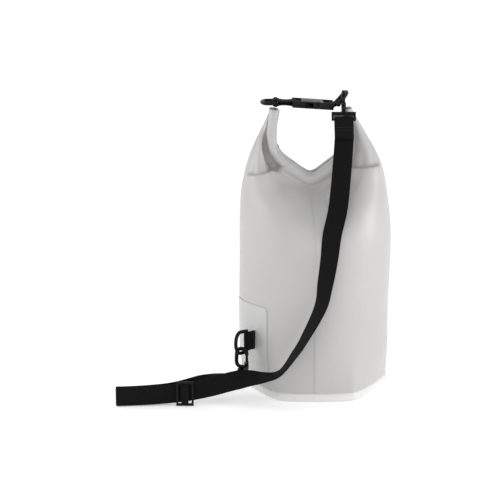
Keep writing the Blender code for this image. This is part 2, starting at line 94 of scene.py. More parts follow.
def make_camera():
    camera = in_scene("camera", bpy.data.cameras.new("camera"))
    camera.data.lens = LENS
    back = Vector((0, -math.cos(CAMERA_HEIGHT_ANGLE), math.sin(CAMERA_HEIGHT_ANGLE)))
    camera.location = LOOK_AT + back * CAMERA_DISTANCE
    camera.rotation_euler = (math.pi / 2 - CAMERA_HEIGHT_ANGLE, 0, 0)
    bpy.context.scene.camera = camera


def make_light(name, place, size, power):
    """A round light that faces the middle of the bag."""
    light = in_scene(name, bpy.data.lights.new(name, "AREA"))
    light.data.shape = "DISK"
    light.data.size = size
    light.data.energy = power
    light.location = place
    light.rotation_euler = (LIT - Vector(place)).to_track_quat("-Z", "Y").to_euler()


def make_floor():
    bm = bmesh.new()
    bmesh.ops.create_grid(bm, x_segments=1, y_segments=1, size=30.0)
    mesh = bpy.data.meshes.new("floor")
    bm.to_mesh(mesh)
    bm.free()
    floor = in_scene("floor", mesh)
    look = bpy.data.materials.new("studio_white")
    look.use_nodes = True
    shader = look.node_tree.nodes["Principled BSDF"]
    shader.inputs["Base Color"].default_value = (0.99, 0.99, 0.99, 1)
    shader.inputs["Roughness"].default_value = 0.9
    shader.inputs["Specular IOR Level"].default_value = 0.1
    shader.inputs["Emission Color"].default_value = (1, 1, 1, 1)
    shader.inputs["Emission Strength"].default_value = 0.26
    mesh.materials.append(look)


make_camera()
make_floor()
make_light("key", (2.0, -0.60, 0.40), 0.9, 17)
make_light("front", (-0.3, -2.3, 0.55), 1.2, 4)
make_light("fill", (-1.9, -0.2, 0.8), 1.0, 9)
world = bpy.data.worlds.new("studio")
world.use_nodes = True
world.node_tree.nodes["Background"].inputs["Color"].default_value = (1, 1, 1, 1)
world.node_tree.nodes["Background"].inputs["Strength"].default_value = 0.77
bpy.context.scene.world = world
bpy.context.scene.view_settings.view_transform = "Standard"
print("camera", tuple(round(c, 3) for c in bpy.context.scene.camera.location))

# %% [markdown]
# ## Materials
# Coated fabric is a thin plastic film over a woven scrim: satin, with the threads just readable and faint
# handling marks. Webbing is a coarse weave of matt yarn. The hardware is moulded plastic with a fine spark finish.
# Every pattern reads Object coordinates or the strip's own UV map, so it stays on the piece as the piece moves.


# %% Material helpers
def new_material(name, colour, roughness, **settings):
    """A Principled material. settings are more of its inputs, with _ for each space."""
    look = bpy.data.materials.new(name)
    look.use_nodes = True
    shader = look.node_tree.nodes["Principled BSDF"]
    shader.inputs["Base Color"].default_value = (*colour, 1)
    shader.inputs["Roughness"].default_value = roughness
    for key, value in settings.items():
        shader.inputs[key.replace("_", " ")].default_value = value
    return look, look.node_tree, shader


def node(tree, kind, **settings):
    made = tree.nodes.new(kind)
    for name, value in settings.items():
        setattr(made, name, value)
    return made


def wire(tree, start, end):
    tree.links.new(start, end)


def noise_node(tree, vector, scale, detail=3.0):
    made = node(tree, "ShaderNodeTexNoise")
    made.inputs["Scale"].default_value = scale
    made.inputs["Detail"].default_value = detail
    wire(tree, vector, made.inputs["Vector"])
    return made.outputs["Fac"]


def remap(tree, value, low, high):
    """A 0 to 1 value, spread between low and high."""
    made = node(tree, "ShaderNodeMapRange")
    made.inputs["From Min"].default_value = 0.3
    made.inputs["From Max"].default_value = 0.7
    made.inputs["To Min"].default_value = low
    made.inputs["To Max"].default_value = high
    wire(tree, value, made.inputs["Value"])
    return made.outputs["Result"]


def tint(tree, value, dark, light):
    made = node(tree, "ShaderNodeValToRGB")
    made.color_ramp.elements[0].color = (*dark, 1)
    made.color_ramp.elements[1].color = (*light, 1)
    made.color_ramp.elements[0].position = 0.3
    made.color_ramp.elements[1].position = 0.7
    wire(tree, value, made.inputs["Fac"])
    return made.outputs["Color"]


def bump(tree, height, strength, distance, before=None):
    made = node(tree, "ShaderNodeBump")
    made.inputs["Strength"].default_value = strength
    made.inputs["Distance"].default_value = distance
    wire(tree, height, made.inputs["Height"])
    if before is not None:
        wire(tree, before, made.inputs["Normal"])
    return made.outputs["Normal"]


# %% Fabric, webbing and plastic
FABRIC_WHITE = (0.480, 0.473, 0.470)
RIM_WHITE = (0.700, 0.700, 0.696)


def fabric_material(name, colour, roughness=0.40):
    look, tree, shader = new_material(
        name, colour, roughness, Subsurface_Weight=0.08, Subsurface_Radius=(0.010, 0.010, 0.010),
        Coat_Weight=0.12, Coat_Roughness=0.35,
    )
    place = node(tree, "ShaderNodeTexCoord").outputs["Object"]
    mottled = noise_node(tree, place, 14.0, 4.0)
    dark = tuple(c * 0.965 for c in colour)
    wire(tree, tint(tree, mottled, dark, colour), shader.inputs["Base Color"])
    rough = remap(tree, noise_node(tree, place, 60.0), roughness - 0.06, roughness + 0.08)
    wire(tree, rough, shader.inputs["Roughness"])
    scrim = node(tree, "ShaderNodeTexWave", wave_type="BANDS", bands_direction="Z")
    scrim.inputs["Scale"].default_value = 260.0
    wire(tree, place, scrim.inputs["Vector"])
    soft = bump(tree, noise_node(tree, place, 38.0, 5.0), 0.25, 0.0010)
    fine = bump(tree, noise_node(tree, place, 900.0, 2.0), 0.12, 0.0002, soft)
    wire(tree, bump(tree, scrim.outputs["Fac"], 0.06, 0.0001, fine), shader.inputs["Normal"])
    return look


def webbing_material():
    """Ribs across the strip and warp lines along it, from the strip's UV map in metres."""
    look, tree, shader = new_material(
        "black_webbing", (0.005, 0.005, 0.006), 0.8, Specular_IOR_Level=0.12, Sheen_Weight=0.02, Sheen_Roughness=0.5
    )
    strip = node(tree, "ShaderNodeUVMap", uv_map="strip").outputs["UV"]
    ribs = node(tree, "ShaderNodeTexWave", wave_type="BANDS", bands_direction="X")
    ribs.inputs["Scale"].default_value = 180.0
    ribs.inputs["Distortion"].default_value = 0.6
    warps = node(tree, "ShaderNodeTexWave", wave_type="BANDS", bands_direction="Y")
    warps.inputs["Scale"].default_value = 300.0
    for wave in (ribs, warps):
        wire(tree, strip, wave.inputs["Vector"])
    weave = node(tree, "ShaderNodeMath", operation="MULTIPLY")
    wire(tree, ribs.outputs["Fac"], weave.inputs[0])
    wire(tree, warps.outputs["Fac"], weave.inputs[1])
    wire(tree, tint(tree, weave.outputs[0], (0.002, 0.002, 0.0025), (0.009, 0.009, 0.010)), shader.inputs["Base Color"])
    fuzz = bump(tree, noise_node(tree, strip, 1500.0), 0.2, 0.0002)
    wire(tree, bump(tree, weave.outputs[0], 0.7, 0.0004, fuzz), shader.inputs["Normal"])
    return look


def plastic_material():
    look, tree, shader = new_material("black_acetal", (0.005, 0.005, 0.005), 0.33, Specular_IOR_Level=0.16)
    place = node(tree, "ShaderNodeTexCoord").outputs["Object"]
    wire(tree, remap(tree, noise_node(tree, place, 120.0), 0.26, 0.42), shader.inputs["Roughness"])
    spark = bump(tree, noise_node(tree, place, 2600.0, 2.0), 0.18, 0.0001)
    wire(tree, spark, shader.inputs["Normal"])
    shade = tint(tree, noise_node(tree, place, 80.0), (0.002, 0.002, 0.0025), (0.004, 0.004, 0.0045))
    wire(tree, shade, shader.inputs["Base Color"])
    return look


def steel_material():
    look, tree, shader = new_material("steel_pin", (0.5, 0.5, 0.51), 0.3, Metallic=1.0)
    place = node(tree, "ShaderNodeTexCoord").outputs["Object"]
    wire(tree, remap(tree, noise_node(tree, place, 400.0), 0.22, 0.4), shader.inputs["Roughness"])
    return look


FABRIC = fabric_material("white_tarpaulin", FABRIC_WHITE)
WELDED = fabric_material("welded_tarpaulin", RIM_WHITE, 0.30)
PATCH = fabric_material("patch_tarpaulin", (0.515, 0.512, 0.508), 0.36)
WEBBING = webbing_material()
PLASTIC = plastic_material()
STEEL = steel_material()
THREAD = new_material("black_thread", (0.030, 0.030, 0.032), 0.6)[0]
STRIPE = new_material("stiffener_strip", (0.30, 0.30, 0.31), 0.55)[0]
print("materials:", [m.name for m in bpy.data.materials])

# %% [markdown]
# ## The bag's shape in numbers
# A few formulas give the shape: a level outline for each height, the line of the rolled mouth, and a curve from the
# upright wall up to the roll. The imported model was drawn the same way, so cloth and collision solid stay close. The
# one clear difference is at the base, whose corners are a few millimetres fuller here.

# %% Shape of the tube and of the roll
HALF_WIDTH, HALF_DEPTH = 0.1015, 0.0900
FLAT_RADIUS, CORNER_RADIUS = 0.0925, 0.1030  # the base's six flats and the corners between them
COLUMN = 0.205
ROLL_CENTRE_X = -0.008
ROLL_THICK, ROLL_WIDTH, ROLL_TAPER = 0.015, 0.036, 0.010
ROLL_HALF = [(0.0, 0.2900), (0.028, 0.3010), (0.0475, 0.3200), (0.0515, 0.3450), (0.0480, 0.3770)]
FLAT_ROUND = 0.612  # the tube's way round, flat
FLAT_TALL = 0.365  # from the base weld up to the roll: a figure between the shortest and the longest line


def smooth_path(points, steps):
    """Points along a Catmull-Rom curve through the given points (tuples of any length)."""
    made = []
    ends = [points[0], *points, points[-1]]
    for i in range(1, len(ends) - 2):
        a, b, c, d = (Vector(p) for p in ends[i - 1 : i + 3])
        for k in range(steps):
            t = k / steps
            made.append(
                0.5 * (2 * b + (c - a) * t + (2 * a - 5 * b + 4 * c - d) * t * t + (3 * b - a - 3 * c + d) * t**3)
            )
    return [*made, Vector(points[-1])]


ROLL_LINE = smooth_path(
    [(ROLL_CENTRE_X - x, 0.0, z) for x, z in reversed(ROLL_HALF[1:])]
    + [(ROLL_CENTRE_X + x, 0.0, z) for x, z in ROLL_HALF],
    8,
)


def roll_at(share):
    """Centre and outward normal of the roll, from its left tip (0) to its right tip (1)."""
    place = min(max(share, 0.0), 1.0) * (len(ROLL_LINE) - 1)
    i = min(int(place), len(ROLL_LINE) - 2)
    centre = ROLL_LINE[i].lerp(ROLL_LINE[i + 1], place - i)
    way = (ROLL_LINE[i + 1] - ROLL_LINE[i]).normalized()
    return centre, Vector((way.z, 0.0, -way.x))


def outline(angle, height):
    """A level section of the tube: six soft flats at the base, where it is welded, and an oval above."""
    rise = min(height / 0.07, 1.0)
    rise = rise * rise * (3 - 2 * rise)
    turn = (angle - math.pi / 6) % (math.pi / 3) - math.pi / 6
    side = FLAT_RADIUS / math.cos(turn + math.pi / 6 if turn < 0 else math.pi / 6 - turn)
    base = (side**-12 + CORNER_RADIUS**-12) ** (-1 / 12)
    across = base + (HALF_WIDTH - base) * rise
    deep = base + (HALF_DEPTH - base) * rise
    return Vector((across * math.cos(angle), deep * math.sin(angle), height))


def wall_point(angle, share):
    """A point of the tube's outside. share runs from 0 at the base to 1 where the tube meets the roll."""
    if share < 0.5:
        return outline(angle, COLUMN * share / 0.5)
    foot = outline(angle, COLUMN)
    centre, normal = roll_at(0.5 + 0.5 * math.cos(angle))
    deep = (ROLL_WIDTH / 2 - 0.001) * math.copysign(abs(math.sin(angle)) ** 0.7, math.sin(angle))
    horn = min(max((abs(0.5 * math.cos(angle)) - 0.22) / 0.12, 0.0), 1.0)
    top = centre + normal * (ROLL_THICK / 2 + 0.0013 - 0.003 * horn) + Vector((0, deep * (1 - 0.35 * horn), 0))
    low = foot + Vector((0, 0, 0.050 + 0.065 * math.cos(angle) ** 2))
    high = top + (foot - top) * 0.28 + normal * 0.006
    t = (share - 0.5) / 0.5
    return foot * (1 - t) ** 3 + low * 3 * t * (1 - t) ** 2 + high * 3 * t * t * (1 - t) + top * t**3


print("roll line", round(sum((b - a).length for a, b in zip(ROLL_LINE, ROLL_LINE[1:])), 3), "m long")

# %% [markdown]
# ## Mesh helpers
# A strip, a shell or a tube is a grid of points joined by quads, and a wire is a circle carried along a path.
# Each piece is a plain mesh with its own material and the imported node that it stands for, if it stands for one.


# %% Mesh helpers
def add_piece(name, mesh, look, body, nodes=(), angle=40):
    """An object in the row frame that rides a body, or no body yet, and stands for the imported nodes."""
    mesh.materials.clear()
    mesh.materials.append(look)
    mesh.shade_smooth()
    mesh.set_sharp_from_angle(angle=math.radians(angle))
    obj = in_scene(name, mesh)
    if body:
        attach(obj, body)
    if nodes:
        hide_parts(*nodes)
    return obj


def mesh_of(name, bm):
    bmesh.ops.recalc_face_normals(bm, faces=bm.faces)
    mesh = bpy.data.meshes.new(name)
    bm.to_mesh(mesh)
    bm.free()
    return mesh


def grid_mesh(name, points, around=False):
    """Quads over an array of points (rows, columns, 3). around joins the last column to the first."""
    rows, columns = points.shape[:2]
    index = np.arange(rows * columns).reshape(rows, columns)
    if around:
        index = np.concatenate([index, index[:, :1]], axis=1)
    faces = np.stack([index[:-1, :-1], index[:-1, 1:], index[1:, 1:], index[1:, :-1]], axis=-1).reshape(-1, 4)
    mesh = bpy.data.meshes.new(name)
    mesh.from_pydata(points.reshape(-1, 3).tolist(), [], faces.tolist())
    mesh.update()
    return mesh


def evaluated_mesh(obj):
    """The object's mesh with its modifiers applied, as a plain mesh."""
    bpy.context.view_layer.update()
    return bpy.data.meshes.new_from_object(obj.evaluated_get(bpy.context.evaluated_depsgraph_get()))


def with_modifiers(mesh, *modifiers):
    """The mesh after some modifiers, each (type, settings)."""
    obj = in_scene(mesh.name, mesh)
    for kind, settings in modifiers:
        modifier = obj.modifiers.new(kind.lower(), kind)
        for name, value in settings.items():
            setattr(modifier, name, value)
    made = evaluated_mesh(obj)
    bpy.data.objects.remove(obj, do_unlink=True)
    return made


def thickened(mesh, thick, offset=0.0):
    """The sheet made solid."""
    return with_modifiers(mesh, ("SOLIDIFY", {"thickness": thick, "offset": offset, "use_even_offset": False}))


def box_mesh(name, low, high):
    low, high = Vector(low), Vector(high)
    bm = bmesh.new()
    bmesh.ops.create_cube(
        bm, size=1.0, matrix=Matrix.Translation((low + high) / 2) @ Matrix.Diagonal((*(high - low), 1))
    )
    return mesh_of(name, bm)


def cylinder_mesh(name, start, end, radius, sides=32):
    start, end = Vector(start), Vector(end)
    turn = Vector((0, 0, 1)).rotation_difference(end - start).to_matrix().to_4x4()
    bm = bmesh.new()
    bmesh.ops.create_cone(
        bm, cap_ends=True, segments=sides, radius1=radius, radius2=radius, depth=(end - start).length,
        matrix=Matrix.Translation((start + end) / 2) @ turn,
    )
    return mesh_of(name, bm)


def rod_mesh(name, points, radius, cyclic=False, resolution=5):
    """A round wire along points, as one closed mesh."""
    curve = bpy.data.curves.new(name, "CURVE")
    curve.dimensions = "3D"
    curve.bevel_depth = radius
    curve.bevel_resolution = resolution
    curve.use_fill_caps = not cyclic
    spline = curve.splines.new("POLY")
    spline.points.add(len(points) - 1)
    for point, place in zip(spline.points, points):
        point.co = (*place, 1.0)
    spline.use_cyclic_u = cyclic
    guide = in_scene(name, curve)
    made = evaluated_mesh(guide)
    bpy.data.objects.remove(guide, do_unlink=True)
    bm = bmesh.new()
    bm.from_mesh(made)
    bmesh.ops.remove_doubles(bm, verts=bm.verts, dist=1e-6)
    return mesh_of(name, bm)


def cut_and_joined(mesh, cuts=(), unions=()):
    """The mesh with some closed shapes cut out of it and others joined to it, exactly."""
    obj = in_scene(mesh.name, mesh)
    tools = []
    for tool_mesh, operation in [(m, "DIFFERENCE") for m in cuts] + [(m, "UNION") for m in unions]:
        tool = in_scene("tool", tool_mesh)
        tools.append(tool)
        modifier = obj.modifiers.new("boolean", "BOOLEAN")
        modifier.operation = operation
        modifier.solver = "EXACT"
        modifier.object = tool
    made = evaluated_mesh(obj)
    for done in [obj, *tools]:
        bpy.data.objects.remove(done, do_unlink=True)
    return made


def bevelled(mesh, width, segments=3, angle=30):
    return with_modifiers(
        mesh,
        ("BEVEL", {"width": width, "segments": segments, "limit_method": "ANGLE",
                   "angle_limit": math.radians(angle), "harden_normals": False, "use_clamp_overlap": True}),
    )

# %% [markdown]
# ## The fabric tube
# The tube is one panel of coated fabric, 612 mm round, with its side edges welded together. Its hang between the
# round base and the flattened, bent mouth is simulated: the base ring and the mouth are pinned, a little air
# pressure keeps the tube round, gravity is off because the air and the contents carry the wall, and the cloth
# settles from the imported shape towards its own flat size. Each line up the wall is given 1.2 % more cloth than
# the way it has to go. A real panel is a rectangle, whose spare cloth also folds over into a lip below the roll.
# Those bigger folds are drawn on the result in the next step.

# %% Simulate the tube
AROUND, UP = 132, 85
SLACK = 0.012  # the share by which the cloth is longer than the way it has to go
PIN_LOW, PIN_TOP = 3, 2  # rows held at the base and at the mouth
TUCK_ROWS = 9
TUBE_PRESSURE = 8.0
SETTLE_FRAMES = 36


def even_angles():
    """For each line up the wall, the angle at which it meets the mouth, so that the mouth is shared out evenly."""
    fine = np.linspace(0, 2 * math.pi, 1441)
    mouth = np.array([wall_point(a, 1.0) for a in fine])
    length = np.concatenate([[0], np.cumsum(np.linalg.norm(np.diff(mouth, axis=0), axis=1))])
    return np.interp(np.linspace(0, length[-1], AROUND + 1)[:-1], length, fine)


def start_grid():
    """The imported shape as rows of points, each line up the wall divided evenly along its own length."""
    grid = np.zeros((UP, AROUND, 3))
    for i, mouth_angle in enumerate(even_angles()):
        foot_angle = 2 * math.pi * i / AROUND
        fine = []
        for share in np.linspace(0.004, 1.0, 160):
            t = min(max((share - 0.4) / 0.6, 0.0), 1.0)
            turned = foot_angle + (mouth_angle - foot_angle) * t * t * (3 - 2 * t)
            fine.append(wall_point(turned, share))
        fine = np.array(fine)
        length = np.concatenate([[0], np.cumsum(np.linalg.norm(np.diff(fine, axis=0), axis=1))])
        for axis in range(3):
            grid[:, i, axis] = np.interp(np.linspace(0, length[-1], UP), length, fine[:, axis])
    return grid


def flat_grid(start):
    """The same panel before the mouth was rolled: a plain cylinder, each line a little longer than it is now."""
    tall = np.linalg.norm(np.diff(start, axis=0), axis=2).sum(axis=0) * (1 + SLACK)
    angles = 2 * math.pi * np.arange(AROUND) / AROUND
    radius = FLAT_ROUND / (2 * math.pi)
    grid = np.zeros((UP, AROUND, 3))
    grid[:, :, 0] = radius * np.cos(angles)
    grid[:, :, 1] = radius * np.sin(angles)
    grid[:, :, 2] = np.linspace(0, 1, UP)[:, None] * tall[None, :]
    return grid


def seeded(grid):
    """Small hollows, a few millimetres deep, for the folds to start from."""
    made = grid.copy()
    for j in range(UP):
        for i in range(AROUND):
            x, y, z = grid[j, i]
            rise = min(max((z - 0.03) / 0.1, 0.0), 1.0)
            out = Vector((x, y, 0)).normalized()
            push = noise.noise(Vector((x * 16, y * 16, z * 9)) + Vector((7.1, 3.3, 5.7))) * 0.0025 * rise
            made[j, i] += np.array(out) * push
    return made


def simulate_tube(frames):
    grid = seeded(start_grid())
    mesh = grid_mesh("bag_fabric", grid, around=True)
    obj = in_scene("bag_fabric_sim", mesh)
    obj.shape_key_add(name="Basis")
    rest = obj.shape_key_add(name="flat")
    for point, place in zip(rest.data, flat_grid(start_grid()).reshape(-1, 3)):
        point.co = place
    rest.value = 0.0
    pinned = obj.vertex_groups.new(name="pinned")
    pinned.add(list(range(AROUND * PIN_LOW)) + list(range(AROUND * (UP - PIN_TOP), AROUND * UP)), 1.0, "REPLACE")
    cloth = obj.modifiers.new("cloth", "CLOTH")
    settings = cloth.settings
    settings.quality = 8
    settings.mass = 0.25
    settings.tension_stiffness = settings.compression_stiffness = 60
    settings.shear_stiffness = 25
    settings.bending_stiffness = 8
    settings.tension_damping = settings.compression_damping = settings.shear_damping = 20
    settings.bending_damping = 2
    settings.air_damping = 3
    settings.use_pressure = True
    settings.uniform_pressure_force = TUBE_PRESSURE
    settings.vertex_group_mass = "pinned"
    settings.rest_shape_key = rest
    settings.effector_weights.gravity = 0.0
    cloth.collision_settings.use_collision = False
    cloth.collision_settings.use_self_collision = False
    cloth.point_cache.frame_start = 1
    cloth.point_cache.frame_end = frames
    scene = bpy.context.scene
    for step in range(1, frames + 1):
        scene.frame_set(step)
    made = evaluated_mesh(obj)
    bpy.data.objects.remove(obj, do_unlink=True)
    scene.frame_set(1)
    return made


def over_the_roll(points):
    """More rows at the top: between the horns the outer layer runs on over the roll and tucks in behind it."""
    path = [(0.0088, 0.0172), (0.0070, 0.0190), (0.0035, 0.0200), (0.0, 0.0203), (-0.0035, 0.0200)]
    path += [(-0.0066, 0.0186), (-0.0080, 0.0160), (-0.0080, 0.0120), (-0.0068, 0.0080)]
    rows = np.zeros((TUCK_ROWS, AROUND, 3))
    for i, angle in enumerate(even_angles()):
        centre, normal = roll_at(0.5 + 0.5 * math.cos(angle))
        far = min(max((0.37 - abs(0.5 * math.cos(angle))) / 0.14, 0.02), 1.0)
        ragged = 1 + 0.10 * noise.noise(Vector((i * 0.35, 2.0, 8.0)))
        start = Vector(points[-1, i])
        first = centre + normal * path[0][0] + Vector((0, math.copysign(path[0][1], math.sin(angle)), 0))
        for j in range(TUCK_ROWS):
            at = far * (j + 1) / TUCK_ROWS * (len(path) - 1)
            k = min(int(at), len(path) - 2)
            out, across = (path[k][n] + (path[k + 1][n] - path[k][n]) * (at - k) for n in (0, 1))
            here = centre + normal * out * ragged + Vector((0, math.copysign(across, math.sin(angle)), 0))
            rows[j, i] = start + (here - first)
    return np.concatenate([points, rows])


tube_mesh = simulate_tube(SETTLE_FRAMES)
tube_points = np.array([v.co for v in tube_mesh.vertices]).reshape(UP, AROUND, 3)
tube_mesh = grid_mesh("bag_fabric", over_the_roll(tube_points), around=True)
print("tube box", tube_points.min(axis=(0, 1)).round(4), tube_points.max(axis=(0, 1)).round(4))

# %% [markdown]
# The lip below the roll, the pocket beside the left horn and the soft creases are moved into the simulated net,
# which is then smoothed once and given the fabric's thickness. The two layers hang on the roll, whose left tip
# shifts when the buckle opens.

# %% Dress the tube
SHELF_X, SHELF_Z = [-0.088, -0.051, 0.048, 0.086], [0.2935, 0.3000, 0.3020, 0.3065]  # the lip's line
SHELF_OUT, SHELF_IN = 0.0034, 0.0042  # how far the lip stands out, and how far the step above it lies in
POCKET_Z, POCKET_X = [0.297, 0.315, 0.335, 0.355], [-0.0515, -0.0600, -0.0665, -0.0690]
POCKET_DEEP = 0.0090
SAG = 0.0055


def smooth_step(value, low, high):
    t = np.clip((value - low) / (high - low), 0, 1)
    return t * t * (3 - 2 * t)


def creased(points, normals):
    """Beside the roll the spare cloth folds over in a lip with a step above it. Soft creases run up to the roll."""
    x, y, z = points.T
    line = np.interp(x, SHELF_X, SHELF_Z)
    facing = smooth_step(-normals[:, 1], 0.25, 0.65) * (y < 0)
    beside = smooth_step(np.abs(x + 0.004), 0.030, 0.052)
    above = smooth_step(z, line - 0.0004, line + 0.0014)
    lip = SHELF_OUT * np.exp(-(((line - np.minimum(z, line)) / 0.014) ** 2)) * (1 - above)
    step = -SHELF_IN * np.exp(-(((np.maximum(z, line) - line) / 0.026) ** 2)) * above
    soft = np.array([noise.noise(Vector((a * 34, b * 34, c * 15))) for a, b, c in points])
    broad = np.array([noise.noise(Vector((a * 13 + 5, b * 13, c * 6))) for a, b, c in points])
    pocket = np.exp(-(((x - np.interp(z, POCKET_Z, POCKET_X)) / 0.0045) ** 2))
    pocket *= smooth_step(z, 0.294, 0.301) * (1 - smooth_step(z, 0.330, 0.362))
    push = (lip + step) * facing * beside - POCKET_DEEP * pocket * (y < 0)
    push += soft * 0.0011 * smooth_step(z, 0.21, 0.30) + broad * 0.0016 * smooth_step(z, 0.03, 0.12)
    return points + normals * push[:, None]


def sagged(points):
    """The middle of the rolled mouth hangs a little below the line that the buckle pulls it up to."""
    made = np.array(points, dtype=float)
    x, z = made[..., 0], made[..., 2]
    made[..., 2] = z - SAG * np.exp(-(((x + 0.006) / 0.015) ** 2)) * smooth_step(z, 0.262, 0.290)
    return made


def move_points(mesh, change):
    """Gives a mesh's points and normals to a function and takes the points it returns."""
    count = len(mesh.vertices)
    points, normals = np.empty(count * 3), np.empty(count * 3)
    mesh.vertices.foreach_get("co", points)
    mesh.vertices.foreach_get("normal", normals)
    mesh.vertices.foreach_set("co", change(points.reshape(-1, 3), normals.reshape(-1, 3)).ravel())
    mesh.update()
    return mesh


def dress_tube():
    mesh = with_modifiers(tube_mesh, ("SUBSURF", {"levels": 1, "render_levels": 1}))
    move_points(mesh, lambda points, normals: sagged(creased(points, normals)))
    mesh = thickened(mesh, 0.0010, -1.0)
    mesh.name = "bag_fabric"
    tube = add_piece("bag_fabric", mesh, FABRIC, None, ["bag_tube"], 60)
    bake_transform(tube)
    return tube


bag_fabric = dress_tube()
print("tube triangles", sum(len(p.vertices) - 2 for p in bag_fabric.data.polygons))

# %% [markdown]
# ## The rolled mouth
# Rolling the two layers round a flat plastic strip gives a flattened spiral. Bending that roll up to the buckle
# shows its end at each horn, so the turns are real here: one long sheet carried along the roll's line, a little
# looser in some places than in others.

# %% Roll the mouth
TURNS = 2.75
SPIRAL_STEPS = 132
ROLL_STATIONS = 64


def spiral_point(step, share):
    """(across the roll, out from it) of the spiral, from its heart to its outside, at a place along the roll."""
    turned = step / (SPIRAL_STEPS - 1)
    angle = 2 * math.pi * TURNS * (turned - 1.0) - math.pi / 2
    tip = max(0.0, abs(share - 0.5) - 0.34) / 0.16
    deep = 0.0110 + (ROLL_WIDTH / 2 - 0.0006 - 0.0110) * turned - tip * ROLL_TAPER / 2
    half = 0.0016 + (ROLL_THICK / 2 - 0.0006 - 0.0016) * turned
    loose = 1 + 0.11 * noise.noise(Vector((share * 15.0, math.cos(angle) * 0.9 + turned, math.sin(angle) * 0.9)))
    across = deep * math.copysign(abs(math.cos(angle)) ** 0.55, math.cos(angle)) * loose
    out = half * math.copysign(abs(math.sin(angle)) ** 0.9, math.sin(angle)) * loose
    return across, out


def roll_mesh():
    rows = []
    for share in np.linspace(-0.004, 1.004, ROLL_STATIONS):
        centre, normal = roll_at(share)
        centre = centre + (ROLL_LINE[-1] - ROLL_LINE[-2]).normalized() * max(0.0, share - 1) * 0.25
        row = []
        for step in range(SPIRAL_STEPS):
            across, out = spiral_point(step, share)
            row.append(centre + normal * out + Vector((0, across, 0)))
        rows.append(row)
    return thickened(grid_mesh("mouth_roll", sagged(np.array(rows))), 0.0009, 0.0)


mouth_roll = add_piece("mouth_roll", roll_mesh(), FABRIC, None, ["roll_top"], 60)
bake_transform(mouth_roll)


def stiffener_mesh():
    rows = []
    for share in np.linspace(0.015, 0.985, 60):
        centre, _normal = roll_at(share)
        rows.append([centre + Vector((0, y, 0)) for y in np.linspace(-0.009, 0.009, 5)])
    return bevelled(thickened(grid_mesh("stiffener_strip", sagged(np.array(rows))), 0.0012), 0.0003, 2)


stiffener = add_piece("stiffener_strip", stiffener_mesh(), STRIPE, None, ["mouth_stiffener"])
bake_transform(stiffener)
print("roll turns", TURNS)

# %% [markdown]
# ## Base, seam and patch
# The base is a panel turned up into a rim and welded to the tube with hot air. The weld is a brighter band ten
# millimetres tall. The tube's own overlap runs up the front as a strip, and a rounded patch spreads the strap's
# pull under the lower anchor. Both lie on the simulated cloth, less than half a millimetre proud of it.

# %% Base with its welded rim
RIM_HEIGHT = 0.010


def base_mesh():
    rows = []
    angles = [2 * math.pi * i / 192 for i in range(192)]
    profile = [(0.0006, 0.0)] + [(r, 0.0) for r in (0.3, 0.6, 0.85, 0.96, 0.985)]
    profile += [(0.996, 0.0006), (1.001, 0.0018), (1.006, 0.0034), (1.008, 0.006), (1.007, 0.0088), (0.999, RIM_HEIGHT)]
    for share, height in profile:
        row = []
        for angle in angles:
            here = outline(angle, height)
            row.append((here.x * share, here.y * share, height + 0.0010))
        rows.append(row)
    rows.append([(p[0] * 0.988, p[1] * 0.988, p[2] + 0.0006) for p in rows[-1]])
    bm = bmesh.new()
    bm.from_mesh(grid_mesh("base_panel", np.array(rows), around=True))
    return thickened(mesh_of("base_panel", bm), 0.0008, 1.0)


add_piece("base_panel", base_mesh(), WELDED, "bag", ["base_disc"], 50)
print("base rim", RIM_HEIGHT * 1000, "mm")


# %% Seam and patch on the cloth
def cloth_at(angle, height):
    """A point of the simulated tube at an angle and a height along the panel (0 to 1), and its outward normal."""
    def sample(a, h):
        column = (a / (2 * math.pi) * AROUND) % AROUND
        row = min(max(h, 0.0), 0.9999) * (UP - 1)
        i, j = int(column), int(row)
        u, v = column - i, row - j
        k = (i + 1) % AROUND
        low = tube_points[j, i] * (1 - u) + tube_points[j, k] * u
        high = tube_points[j + 1, i] * (1 - u) + tube_points[j + 1, k] * u
        return Vector(low * (1 - v) + high * v)

    here = sample(angle, height)
    normal = (sample(angle + 0.02, height) - sample(angle - 0.02, height)).cross(
        sample(angle, min(height + 0.01, 0.999)) - sample(angle, max(height - 0.01, 0.0))
    )
    return here, normal.normalized()


def row_at(angle, level):
    """How far up the panel (0 to 1) a line at this angle reaches a level in metres."""
    column = int(angle / (2 * math.pi) * AROUND) % AROUND
    half = UP // 2
    return float(np.interp(level, tube_points[:half, column, 2], np.arange(half) / (UP - 1)))


def strip_on_cloth(name, angles, size, proud, thick, ends, corner=0.0):
    """A sheet of size (rows, columns) on the creased cloth. ends gives its lower and upper end at an angle."""
    rows, columns = size
    places, normals = [], []
    for v in np.linspace(0, 1, rows):
        inset = corner - math.sqrt(max(corner**2 - max(corner - min(v, 1 - v), 0.0) ** 2, 0.0)) if corner else 0.0
        for u in np.linspace(inset, 1 - inset, columns):
            angle = angles[0] + (angles[-1] - angles[0]) * u
            low, high = ends(angle)
            place, normal = cloth_at(angle, low + (high - low) * v)
            places.append(place)
            normals.append(normal)
    places, normals = np.array(places), np.array(normals)
    lying = sagged(creased(places, normals)) + normals * proud
    return thickened(grid_mesh(name, lying.reshape(rows, columns, 3)), thick, 1.0)


